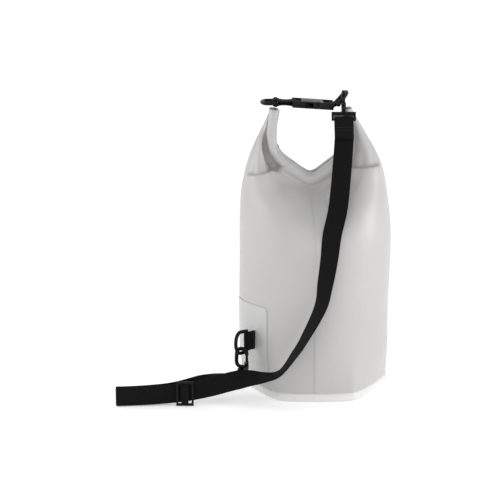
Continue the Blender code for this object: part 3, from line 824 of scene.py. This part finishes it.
SEAM_ANGLES = np.radians([268.5, 280.5])
SEAM_ENDS = (0.03, 0.93)  # shares of the panel's height
PATCH_ANGLES = np.radians([182.0, 230.0])
PATCH_LEVELS = (0.034, 0.124)
PATCH_CORNER = 0.07  # a share of the patch's sides
seam = strip_on_cloth("seam_strip", SEAM_ANGLES, (130, 13), 0.00025, 0.0003, lambda angle: SEAM_ENDS)
patch = strip_on_cloth(
    "patch_welded", PATCH_ANGLES, (60, 32), 0.0004, 0.0004,
    lambda angle: [row_at(angle, level) for level in PATCH_LEVELS], PATCH_CORNER,
)
add_piece("seam_strip", seam, FABRIC, "bag", ["seam_overlap"], 60)
add_piece("patch_welded", patch, PATCH, "bag", ["anchor_patch"], 60)
print("seam and patch laid on the cloth")

# %% [markdown]
# ## Rings, tabs and the side-release buckle
# All of this is bought-in hardware moulded in acetal, with rounded edges, a fine spark texture, and webbing tabs
# folded round its bars. The buckle's socket rides the left end, the plug stays with the bag, and the two
# prongs between them bend in through the windows in the socket's sides.

# %% Sizes of the hardware
WEB_WIDTH, WEB_THICK = 0.025, 0.0013
RING_WIRE, RING_HALF, RING_LEG, RING_DEPTH = 0.0018, 0.0145, 0.011, 0.0185
RING_FULLER, HOOK_FULLER = 1.35, 1.22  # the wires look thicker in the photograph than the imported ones
BUCKLE_CENTRE = Vector((-0.002, 0.0, 0.3835))
BUCKLE_BASIS = Matrix.Rotation(math.radians(3.7), 4, "Y")
BUCKLE_WIDTH, BUCKLE_THICK = 0.032, 0.009
LEFT_BAR = Vector((-0.0535, 0.0, 0.3860))
RIGHT_BAR = Vector((0.0275, 0.0, 0.3850))
RIGHT_RING_TILT = math.radians(50)
LOWER_BAR = Vector((-0.0920, -0.0650, 0.0765))
LOWER_OUT = Vector((-0.78, -0.62, 0.0)).normalized()


# %% D-rings
def d_ring(name, bar, out, along, body, node_name):
    """A moulded D-ring: a straight bar, two short legs and a half-round front."""
    out, along = Vector(out).normalized(), Vector(along).normalized()
    corners = [(RING_HALF, 0.0), (RING_HALF, RING_LEG * 0.5), (RING_HALF, RING_LEG)]
    for k in range(1, 24):
        angle = math.pi * k / 24
        corners.append((RING_HALF * math.cos(angle), RING_LEG + (RING_DEPTH - RING_LEG) * math.sin(angle)))
    corners += [(-RING_HALF, RING_LEG), (-RING_HALF, RING_LEG * 0.5), (-RING_HALF, 0.0)]
    points = [bar + along * a + out * o for a, o in corners]
    ring = rod_mesh(name, points, RING_WIRE * RING_FULLER, cyclic=True)
    add_piece(name, ring, PLASTIC, body, [node_name], 50)


d_ring("ring_left", LEFT_BAR, (-1, 0, 0), (0, 1, 0), "left_ring", "left_d_ring")
RIGHT_OUT = (math.cos(RIGHT_RING_TILT), 0, math.sin(RIGHT_RING_TILT))
d_ring("ring_right", RIGHT_BAR, RIGHT_OUT, (0, 1, 0), "upper_ring", "right_d_ring")
d_ring("ring_lower", LOWER_BAR, LOWER_OUT, (0, 0, 1), "lower_ring", "lower_d_ring")


# %% Webbing: a strip with its own map in metres
def webbing_mesh(name, stations, width=WEB_WIDTH, thick=WEB_THICK, closed=False, columns=9, at=0.0):
    """A strip of webbing through stations (centre, side), with rounded selvedges and a UV map of its real size."""
    centres = [Vector(c) for c, _s in stations]
    sides = [Vector(s).normalized() for _c, s in stations]
    spots = list(range(len(stations))) + ([0] if closed else [])
    bm = bmesh.new()
    strip = bm.loops.layers.uv.new("strip")
    rows, lengths, run = [], [], at
    for n, k in enumerate(spots):
        if n:
            run += (centres[k] - centres[spots[n - 1]]).length
        lengths.append(run)
    for k in range(len(stations)):
        before = centres[k - 1 if closed or k else 0]
        after = centres[(k + 1) % len(centres) if closed or k + 1 < len(centres) else k]
        face = (after - before).normalized().cross(sides[k]).normalized()
        ring = []
        for layer in (1, -1):
            for c in range(columns):
                u = (c / (columns - 1) - 0.5) * layer
                thin = thick / 2 * (0.55 if c in (0, columns - 1) else 1.0)
                ring.append(bm.verts.new(centres[k] + sides[k] * (width * u) + face * (thin * layer)))
        rows.append(ring)
    count = 2 * columns
    for n in range(len(spots) - 1):
        low, high = rows[spots[n]], rows[spots[n + 1]]
        for i in range(count):
            k = (i + 1) % count
            face = bm.faces.new((low[i], low[k], high[k], high[i]))
            across = [(j % columns) / (columns - 1) * width for j in (i, k, k, i)]
            if i % columns == columns - 1:
                across = [0.0, 0.0, 0.0, 0.0]
            for loop, u, v in zip(face.loops, (lengths[n], lengths[n], lengths[n + 1], lengths[n + 1]), across):
                loop[strip].uv = (u, v)
    if not closed:
        for ring in (rows[0], rows[-1]):
            for c in range(columns - 1):
                bm.faces.new((ring[c], ring[c + 1], ring[count - 2 - c], ring[count - 1 - c]))
    return mesh_of(name, bm)


def loop_stations(first, second, radius_first, radius_second, side, pinch=0.0, steps=12, rows=9):
    """Stations of a closed strip round two bars that lie along side. pinch is the sewn middle's half height."""
    first, second, side = Vector(first), Vector(second), Vector(side).normalized()
    way = (second - first).normalized()
    across = way.cross(side)

    def layer(start, end):
        """One of the two layers between the bars, drawn in towards the stitching."""
        between = []
        for k in range(1, rows):
            here = start.lerp(end, k / rows)
            height = (here - first).dot(across)
            sewn = math.sin(math.pi * k / rows) ** 0.6
            if pinch and abs(height) > pinch:
                here = here + across * (math.copysign(pinch, height) - height) * sewn
            between.append((here, side))
        return between

    made = []
    for centre, radius, turn in ((first, radius_first, 0.5), (second, radius_second, -0.5)):
        arc = []
        for k in range(steps + 1):
            angle = math.pi * (turn + k / steps)
            arc.append(centre + (way * math.cos(angle) + across * math.sin(angle)) * radius)
        if made:
            made += layer(made[-1][0], arc[0])
        made += [(p, side) for p in arc]
    return made + layer(made[-1][0], made[0][0])


def web_loop(name, first, second, radius_first, radius_second, side, body, node_name, thick=WEB_THICK):
    stations = loop_stations(first, second, radius_first, radius_second, side, pinch=thick * 0.52)
    mesh = webbing_mesh(name, stations, thick=thick, closed=True)
    return add_piece(name, mesh, WEBBING, body, [node_name], 55)


def buckle_point(x):
    return BUCKLE_CENTRE + BUCKLE_BASIS.to_3x3() @ Vector((x, 0, 0))


SOCKET_BAR, PLUG_BAR = buckle_point(-0.0281), buckle_point(0.0220)
ANCHOR_ROOT = LOWER_BAR - LOWER_OUT * 0.0120
web_loop("tab_left", LEFT_BAR, SOCKET_BAR, 0.0042, 0.0034, (0, 1, 0), "left_end", "left_tab", 0.0026)
web_loop("tab_right", PLUG_BAR, RIGHT_BAR, 0.0034, 0.0031, (0, 1, 0), "bag", "right_tab", 0.0022)
web_loop("tab_anchor", ANCHOR_ROOT, LOWER_BAR, 0.0012, 0.0032, (0, 0, 1), "bag", "anchor_tab")
print("rings and tabs placed")


# %% Buckle
def buckle_piece(name, mesh, body, node_name, bevel=0.0009):
    mesh = bevelled(mesh, bevel)
    mesh.transform(Matrix.Translation(BUCKLE_CENTRE) @ BUCKLE_BASIS)
    return add_piece(name, mesh, PLASTIC, body, [node_name], 35)


def buckle():
    """Side-release buckle, drawn in its own frame: +x runs from the socket half to the plug half."""
    wide, thick = BUCKLE_WIDTH / 2, BUCKLE_THICK / 2
    socket = box_mesh("socket", (-0.0300, -wide, -thick), (0.0040, wide, thick))
    cuts = [
        ((-0.0150, -0.0124, -0.0027), (0.0050, 0.0124, 0.0027)),
        ((-0.0130, -0.0200, -0.0026), (-0.0030, 0.0200, 0.0026)),
        ((-0.0262, -0.0132, -0.0100), (-0.0185, 0.0132, 0.0100)),
        ((-0.0310, -0.0132, 0.0015), (-0.0250, 0.0132, 0.0100)),
        ((-0.0310, -0.0132, -0.0100), (-0.0250, 0.0132, -0.0015)),
    ]
    ribs = [((x, -0.0100, sign * thick - 0.0002), (x + 0.0012, 0.0100, sign * thick + 0.0002))
            for x in (-0.0165, -0.0140) for sign in (-1, 1)]
    made = cut_and_joined(socket, [box_mesh("cut", *c) for c in cuts], [box_mesh("rib", *r) for r in ribs])
    buckle_piece("socket", made, "left_end", "buckle_socket", 0.0006)
    plug = box_mesh("plug", (0.0043, -wide, -thick), (0.0240, wide, thick))
    cuts = [
        ((0.0105, -0.0132, -0.0100), (0.0200, 0.0132, 0.0100)),
        ((0.0190, -0.0132, 0.0015), (0.0250, 0.0132, 0.0100)),
        ((0.0190, -0.0132, -0.0100), (0.0250, 0.0132, -0.0015)),
    ]
    tongue = box_mesh("tongue", (-0.0110, -0.0035, -0.0020), (0.0050, 0.0035, 0.0020))
    made = cut_and_joined(plug, [box_mesh("cut", *c) for c in cuts], [tongue])
    buckle_piece("plug", made, "bag", "buckle_plug", 0.0006)
    for name, side in (("prong_front", -1), ("prong_back", 1)):
        low, high = (-0.0165, -0.0016, -0.0022), (0.0005, 0.0020, 0.0022)
        if side < 0:
            low, high = (low[0], -high[1], low[2]), (high[0], -low[1], high[2])
        mesh = box_mesh(name, low, high)
        mesh.transform(Matrix.Translation((0.0035, side * 0.0100, 0.0)))
        buckle_piece(name + "_arm", mesh, name, "buckle_" + name, 0.0007)


buckle()
print("buckle placed")

# %% [markdown]
# ## Snap hooks
# Each end of the strap has a moulded snap hook: an oval wire with a sprung gate on a steel pin, on a post that
# swivels in an eye, and the webbing goes round the eye's bar. Both hooks come from one recipe in the hook's own
# frame, so the two stay the same part.

# %% Hook recipe
HOOK_HALF, HOOK_TALL, HOOK_WIRE = 0.0075, 0.0250, 0.0021
EYE_BAR_Z, GATE_FOOT, GATE_TOP, HOOK_REACH = -0.0120, 0.0065, 0.0165, 0.0170
UPPER_CROSSING = Vector((0.0345, -0.0140, 0.3933))
UPPER_WAY = Vector((0, 0.45, 0.893)).normalized()


def oval_points():
    points = [(HOOK_HALF, 0, GATE_FOOT - 0.0030), (HOOK_HALF * 0.92, 0, 0.0022), (HOOK_HALF * 0.6, 0, 0.0006)]
    points += [(0, 0, 0), (-HOOK_HALF * 0.6, 0, 0.0008), (-HOOK_HALF, 0, 0.0050), (-HOOK_HALF, 0, 0.0175)]
    points = [tuple(p) for p in smooth_path(points, 4)]
    for k in range(1, 20):
        angle = math.pi - math.pi * k / 20
        points.append((HOOK_HALF * math.cos(angle), 0, HOOK_TALL - HOOK_HALF * (1 - math.sin(angle))))
    return points + [(HOOK_HALF, 0, HOOK_TALL - HOOK_HALF), (HOOK_HALF, 0, GATE_TOP + 0.0005)]


def eye_mesh(name):
    """The part that the webbing holds: a boss with a bar under it on two cheeks."""
    boss = cylinder_mesh(name, (0, 0, -0.0027), (0, 0, -0.0057), 0.0055, 40)
    adds = [box_mesh("yoke", (-0.0026, -0.0158, -0.0076), (0.0026, 0.0158, -0.0027))]
    for sign in (-1, 1):
        low, high = sorted((sign * 0.0130, sign * 0.0158))
        adds.append(box_mesh("side", (-0.0024, low, EYE_BAR_Z - 0.0018), (0.0018, high, -0.0030)))
    adds.append(cylinder_mesh("bar", (0, -0.0150, EYE_BAR_Z), (0, 0.0150, EYE_BAR_Z), 0.0018, 24))
    made = cut_and_joined(boss, unions=adds)
    return bevelled(cut_and_joined(made, [cylinder_mesh("way", (0, 0, 0.0), (0, 0, -0.0100), 0.0028, 40)]), 0.0005, 3)


def snap_hook(prefix, bar, up, gate_side, ring_body):
    """Hook body with its pin, then the gate and the swivel eye, each on its own body."""
    up, gate_side = Vector(up).normalized(), Vector(gate_side)
    gate_side = (gate_side - up * gate_side.dot(up)).normalized()
    basis = Matrix((gate_side, up.cross(gate_side), up)).transposed().to_4x4()
    place = Matrix.Translation(bar - up * EYE_BAR_Z) @ basis
    hook_body = prefix + "_hook"

    shape = rod_mesh("oval", oval_points(), HOOK_WIRE * HOOK_FULLER)
    ears = []
    for low, high in ((-0.0026, -0.0016), (0.0016, 0.0026)):
        ear = box_mesh("ear", (0.0050, low, 0.0022), (0.0090, high, GATE_FOOT + 0.0016))
        ears.append(bevelled(ear, 0.0003, 2))
    post = cylinder_mesh("post", (0, 0, 0.0005), (0, 0, -0.0062), 0.0024)
    head = bevelled(cylinder_mesh("head", (0, 0, -0.0061), (0, 0, -0.0074), 0.0040), 0.0004, 3)
    shape = cut_and_joined(shape, unions=[*ears, post, head])
    bore = cylinder_mesh("bore", (HOOK_HALF, -0.004, GATE_FOOT), (HOOK_HALF, 0.004, GATE_FOOT), 0.0011, 24)
    shape = cut_and_joined(shape, [bore])
    shape.transform(place)
    add_piece(prefix + "_oval", shape, PLASTIC, hook_body, [prefix + "_hook_body"], 45)

    arm = cylinder_mesh("arm", (0, 0, 0.0018), (0, 0, GATE_TOP - GATE_FOOT), 0.0018, 24)
    knuckle = cylinder_mesh("knuckle", (0, -0.0012, 0), (0, 0.0012, 0), 0.0021)
    neck = box_mesh("neck", (-0.0011, -0.0012, 0.0005), (0.0011, 0.0012, 0.0030))
    bore = cylinder_mesh("bore", (0, -0.004, 0), (0, 0.004, 0), 0.0011, 24)
    gate = bevelled(cut_and_joined(cut_and_joined(arm, unions=[knuckle, neck]), [bore]), 0.0003, 2)
    gate.transform(place @ Matrix.Translation((HOOK_HALF, 0, GATE_FOOT)))
    add_piece(prefix + "_spring_gate", gate, PLASTIC, prefix + "_gate_part", [prefix + "_gate"], 45)

    pin = cylinder_mesh("pin", (HOOK_HALF, -0.0026, GATE_FOOT), (HOOK_HALF, 0.0026, GATE_FOOT), 0.0008, 24)
    pin = bevelled(pin, 0.0002, 2)
    pin.transform(place)
    add_piece(prefix + "_pin", pin, STEEL, hook_body, [prefix + "_gate_pin"])

    eye = eye_mesh(prefix + "_eye")
    eye.transform(place)
    add_piece(prefix + "_eye", eye, PLASTIC, ring_body, [prefix + "_swivel_eye"], 35)


UPPER_BAR = UPPER_CROSSING - UPPER_WAY * (HOOK_REACH - EYE_BAR_Z)
LOWER_HOOK_BAR = LOWER_BAR + LOWER_OUT * 0.0085 + Vector((0, 0, -RING_HALF - 0.0310))
snap_hook("upper", UPPER_BAR, UPPER_WAY, (0, -0.893, 0.45), "upper_ring")
snap_hook("lower", LOWER_HOOK_BAR, (0, 0, 1), (0.9, -0.436, 0), "lower_ring")
print("snap hooks placed")

# %% [markdown]
# ## The shoulder strap
# One length of 25 mm webbing. Its top end is folded round the upper hook's eye and sewn. It hangs down the front
# of the bag, lies on edge across the ground through the slider, doubles back at its far end and returns to the
# lower hook's side. It is flat webbing along a known route, so it is modelled straight from that route: a cloth
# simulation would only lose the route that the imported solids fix.

# %% Route of the strap
FRONT_RUN = [
    ((0.0352, -0.0330, 0.3405), (1.00, 0.00, 0.00)),
    ((0.0325, -0.0460, 0.3130), (1.00, 0.00, 0.00)),
    ((0.0291, -0.0660, 0.2853), (1.00, -0.06, 0.00)),
    ((0.0246, -0.0860, 0.2575), (0.98, -0.15, 0.00)),
    ((0.0175, -0.0960, 0.2280), (0.93, -0.30, 0.00)),
    ((0.0140, -0.0990, 0.1965), (0.85, -0.50, 0.00)),
    ((0.0092, -0.1015, 0.1648), (0.75, -0.65, 0.00)),
    ((0.0030, -0.1030, 0.1331), (0.55, -0.83, 0.00)),
    ((-0.0175, -0.1045, 0.0910), (0.30, -0.95, 0.00)),
    ((-0.0305, -0.1055, 0.0701), (0.20, -0.97, 0.00)),
    ((-0.0486, -0.1075, 0.0465), (0.05, -1.00, 0.00)),
    ((-0.0695, -0.1095, 0.0412), (0.00, -0.97, -0.25)),
    ((-0.0903, -0.1085, 0.0395), (0.00, -0.75, -0.66)),
    ((-0.1110, -0.1065, 0.0350), (0.00, -0.30, -0.95)),
    ((-0.1420, -0.1030, 0.0250), (0.00, -0.08, -1.00)),
    ((-0.1730, -0.1020, 0.0180), (0.00, 0.00, -1.00)),
    ((-0.2040, -0.1030, 0.0150), (0.00, 0.00, -1.00)),
    ((-0.2300, -0.1045, 0.0138), (0.00, 0.00, -1.00)),
    ((-0.2600, -0.1070, 0.0134), (0.00, 0.00, -1.00)),
]
BACK_RUN = [
    ((-0.2600, -0.1025, 0.0134), (0.00, 0.00, -1.00)),
    ((-0.2250, -0.0990, 0.0140), (0.00, 0.00, -1.00)),
    ((-0.1900, -0.0940, 0.0160), (0.00, -0.10, -1.00)),
    ((-0.1620, -0.0860, 0.0205), (0.00, -0.45, -0.90)),
    ((-0.1400, -0.0790, 0.0260), (-0.20, -0.85, -0.45)),
    ((-0.1185, -0.0730, 0.0305), (-0.42, -0.90, -0.05)),
]
LAYER = 0.0018
SLIDER_STATION = Vector((-0.1730, -0.1020, 0.0170))
DOWN = Vector((0, 0, -1))


def run_stations(points, steps):
    """(centre, side, way) along a strap's route, with each side square to the way."""
    route = smooth_path([(*centre, *side) for centre, side in points], steps)
    centres = [Vector(p[:3]) for p in route]
    made = []
    for i, point in enumerate(route):
        way = (centres[min(i + 1, len(route) - 1)] - centres[max(i - 1, 0)]).normalized()
        side = Vector(point[3:])
        made.append((centres[i], (side - way * side.dot(way)).normalized(), way))
    return made


def shifted(stations, offset):
    """The same strip, moved along its own face's normal."""
    return [(c + way.cross(side) * offset, side) for c, side, way in stations]


def fold(middle, reach, steps):
    """A half turn about an upright edge, from the front layer to the back one."""
    return [
        (middle + Vector((-reach * math.sin(math.pi * k / steps), -reach * math.cos(math.pi * k / steps), 0)), DOWN)
        for k in range(1, steps)
    ]


FINE = 8
run = run_stations(FRONT_RUN, FINE)
back = run_stations(BACK_RUN, FINE)
SPLIT = 46 * FINE // 3
tucked = Vector((0.0, 0.0026, 0.0))  # the strap's end lies behind the sewn loop
drop_stations = [(run[0][0] - run[0][2] * up + tucked, run[0][1]) for up in (0.0075, 0.0050, 0.0025)]
drop_stations += [(c + tucked * max(0.0, 1 - k / 6), s) for k, (c, s, _) in enumerate(run[: SPLIT + 1])]
front = run[SPLIT:]
fold_middle = Vector((front[-1][0].x, (front[-1][0].y + back[0][0].y) / 2, front[-1][0].z))
outer_reach = fold_middle.y - front[-1][0].y + LAYER / 2
outer_stations = [(c, s) for c, s, _ in front]
outer_stations += [(p + Vector((0, LAYER / 2, 0)), s) for p, s in fold(fold_middle, outer_reach, 14)]
outer_stations += shifted(back, LAYER / 2)[1:]
inner_stations = [(c + Vector((0, LAYER, 0)), s) for c, s, _ in front[3:]]
inner_reach = (shifted(back, -LAYER / 2)[0][0].y - inner_stations[-1][0].y) / 2
inner_stations += fold(inner_stations[-1][0] + Vector((0, inner_reach, 0)), inner_reach, 10)
inner_stations += shifted(back, -LAYER / 2)[1:]


def way_long(stations):
    return sum((b[0] - a[0]).length for a, b in zip(stations, stations[1:]))


print("strap pieces", [round(way_long(s), 3) for s in (drop_stations, outer_stations, inner_stations)], "m")

# %% Strap pieces
def strap_run(name, stations, node_name):
    return add_piece(name, webbing_mesh(name, stations), WEBBING, None, [node_name], 55)


strap_main = strap_run("strap_main", drop_stations, "strap_drop")
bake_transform(strap_main)
strap_outer = strap_run("strap_outer", outer_stations, "strap_outer_run")
strap_inner = strap_run("strap_inner", inner_stations, "strap_inner_run")
for doubled in (strap_outer, strap_inner):
    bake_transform(doubled)
STRAP_TOP = Vector(FRONT_RUN[0][0]) + Vector((0, 0, 0.0036))
EYE_LOOP_END = LOWER_HOOK_BAR + Vector((-0.0090, 0.0010, 0.0002))
web_loop("strap_end", UPPER_BAR, STRAP_TOP, 0.0030, 0.0011, (1, 0, 0), "upper_ring", "strap_sewn_end")
web_loop("eye_loop", LOWER_HOOK_BAR, EYE_LOOP_END, 0.0030, 0.0018, (0.436, 0.9, 0), "lower_ring", "strap_eye_loop")
print("strap hung on its hooks")

# %% Slider
def slider_meshes():
    """The tri-glide: a frame with two windows, and the web over its middle bar."""
    body = box_mesh("slider", (-0.0115, -0.0014, -0.0165), (0.0115, 0.0014, 0.0165))
    windows = []
    for sign in (-1, 1):
        low, high = sorted((sign * 0.0018, sign * 0.0088))
        windows.append(box_mesh("window", (low, -0.01, -0.0132), (high, 0.01, 0.0132)))
    body = bevelled(cut_and_joined(body, windows), 0.0007, 3)
    stations = []
    for k in range(25):
        angle = math.pi * k / 24
        stations.append((Vector((-0.0045 * math.cos(angle), -0.0026 * math.sin(angle), 0.0)), Vector((0, 0, 1))))
    web = webbing_mesh("slider_strap", stations, thick=0.0010)
    for mesh in (body, web):
        mesh.transform(Matrix.Translation(SLIDER_STATION + Vector((0, -0.0024, 0))))
    return body, web


slider_body, slider_strap = slider_meshes()
add_piece("tri_glide", slider_body, PLASTIC, "slider", ["strap_slider"], 35)
add_piece("slider_strap", slider_strap, WEBBING, "slider", ["slider_web"], 55)
print("slider placed")

# %% [markdown]
# ## Stitching
# Rows of lockstitch across the webbing close the left tab, the lower anchor's tab and the strap's top end. A row is
# a line with one short thread at each step, which is what Geometry Nodes is for: the group takes the line and
# has the stitch's spacing, length and thickness as named inputs. Its result is baked to a plain mesh per body.


# %% Stitch group
def stitch_group():
    group = bpy.data.node_groups.new("stitch_row", "GeometryNodeTree")
    for name, kind, way in (
        ("Line", "NodeSocketGeometry", "INPUT"),
        ("Spacing", "NodeSocketFloat", "INPUT"),
        ("Stitch Length", "NodeSocketFloat", "INPUT"),
        ("Thread Radius", "NodeSocketFloat", "INPUT"),
        ("Material", "NodeSocketMaterial", "INPUT"),
        ("Stitches", "NodeSocketGeometry", "OUTPUT"),
    ):
        group.interface.new_socket(name, in_out=way, socket_type=kind)
    start, end = group.nodes.new("NodeGroupInput"), group.nodes.new("NodeGroupOutput")
    spots = group.nodes.new("GeometryNodeCurveToPoints")
    spots.mode = "LENGTH"
    thread = group.nodes.new("GeometryNodeMeshUVSphere")
    thread.inputs["Segments"].default_value = 8
    thread.inputs["Rings"].default_value = 6
    thread.inputs["Radius"].default_value = 1.0
    size = group.nodes.new("ShaderNodeCombineXYZ")
    half = group.nodes.new("ShaderNodeMath")
    half.operation = "MULTIPLY"
    half.inputs[1].default_value = 0.5
    place = group.nodes.new("GeometryNodeInstanceOnPoints")
    real = group.nodes.new("GeometryNodeRealizeInstances")
    look = group.nodes.new("GeometryNodeSetMaterial")
    links = (
        (start.outputs["Line"], spots.inputs["Curve"]),
        (start.outputs["Spacing"], spots.inputs["Length"]),
        (start.outputs["Stitch Length"], half.inputs[0]),
        (start.outputs["Thread Radius"], size.inputs["X"]),
        (start.outputs["Thread Radius"], size.inputs["Y"]),
        (half.outputs[0], size.inputs["Z"]),
        (spots.outputs["Points"], place.inputs["Points"]),
        (spots.outputs["Rotation"], place.inputs["Rotation"]),
        (thread.outputs["Mesh"], place.inputs["Instance"]),
        (size.outputs["Vector"], place.inputs["Scale"]),
        (place.outputs["Instances"], real.inputs["Geometry"]),
        (real.outputs["Geometry"], look.inputs["Geometry"]),
        (start.outputs["Material"], look.inputs["Material"]),
        (look.outputs["Geometry"], end.inputs["Stitches"]),
    )
    for a, b in links:
        group.links.new(a, b)
    return group


STITCH_GROUP = stitch_group()
STITCH_SIZES = {"Spacing": 0.0026, "Stitch Length": 0.0021, "Thread Radius": 0.00022, "Material": THREAD}


def rows_on_tab(first, second, side, surface_height, shares):
    """Lines across a tab, on both of its faces, at some shares of the way between its bars."""
    way, side = (second - first).normalized(), Vector(side).normalized()
    across = way.cross(side)
    rows = []
    for share in shares:
        for face in (-1, 1):
            centre = first.lerp(second, share) + across * (face * surface_height)
            rows.append([centre + side * (WEB_WIDTH / 2 - 0.0015) * u for u in (-1, 1)])
    return rows


def stitches(name, rows, body):
    curve = bpy.data.curves.new(name, "CURVE")
    curve.dimensions = "3D"
    for row in rows:
        spline = curve.splines.new("POLY")
        spline.points.add(len(row) - 1)
        for point, place in zip(spline.points, row):
            point.co = (*place, 1.0)
    line = in_scene(name, curve)
    modifier = line.modifiers.new("stitches", "NODES")
    modifier.node_group = STITCH_GROUP
    for item in STITCH_GROUP.interface.items_tree:
        if item.in_out == "INPUT" and item.name in STITCH_SIZES:
            modifier[item.identifier] = STITCH_SIZES[item.name]
    mesh = evaluated_mesh(line)
    bpy.data.objects.remove(line, do_unlink=True)
    mesh.name = name
    return add_piece(name, mesh, THREAD, body, (), 60)


SEWN = [
    ("stitches_left", LEFT_BAR, SOCKET_BAR, (0, 1, 0), 0.0027, (0.42, 0.58), "left_end"),
    ("stitches_anchor", ANCHOR_ROOT, LOWER_BAR, (0, 0, 1), 0.0016, (0.15, 0.40), "bag"),
    ("stitches_strap_end", UPPER_BAR, STRAP_TOP, (1, 0, 0), 0.0014, (0.45, 0.60, 0.85), "upper_ring"),
]
for name, first, second, side, height, shares, body in SEWN:
    sewn = stitches(name, rows_on_tab(first, second, side, height, shares), body)
    print(name, len(sewn.data.vertices), "points")

# %% [markdown]
# A flat size is listed and printed for cloth and webbing: here for the tube's panel and the three long runs of the
# strap. A run's length is that of its route. The panel is given as one rectangle, while its lines here differ in
# length, so its height is a round figure between the shortest and the longest.

# %% Flat sizes
SHEETS = [
    (bag_fabric, (FLAT_ROUND, FLAT_TALL), "gathered", ["mouth_roll", "base_panel"]),
    (strap_main, (WEB_WIDTH, way_long(drop_stations)), "hung", ["strap_end"]),
    (strap_outer, (WEB_WIDTH, way_long(outer_stations)), "folded", ["strap_main"]),
    (strap_inner, (WEB_WIDTH, way_long(inner_stations)), "folded", ["strap_outer"]),
]
for piece, flat, held, rests in SHEETS:
    print(piece.name, [round(x, 3) for x in flat], held)
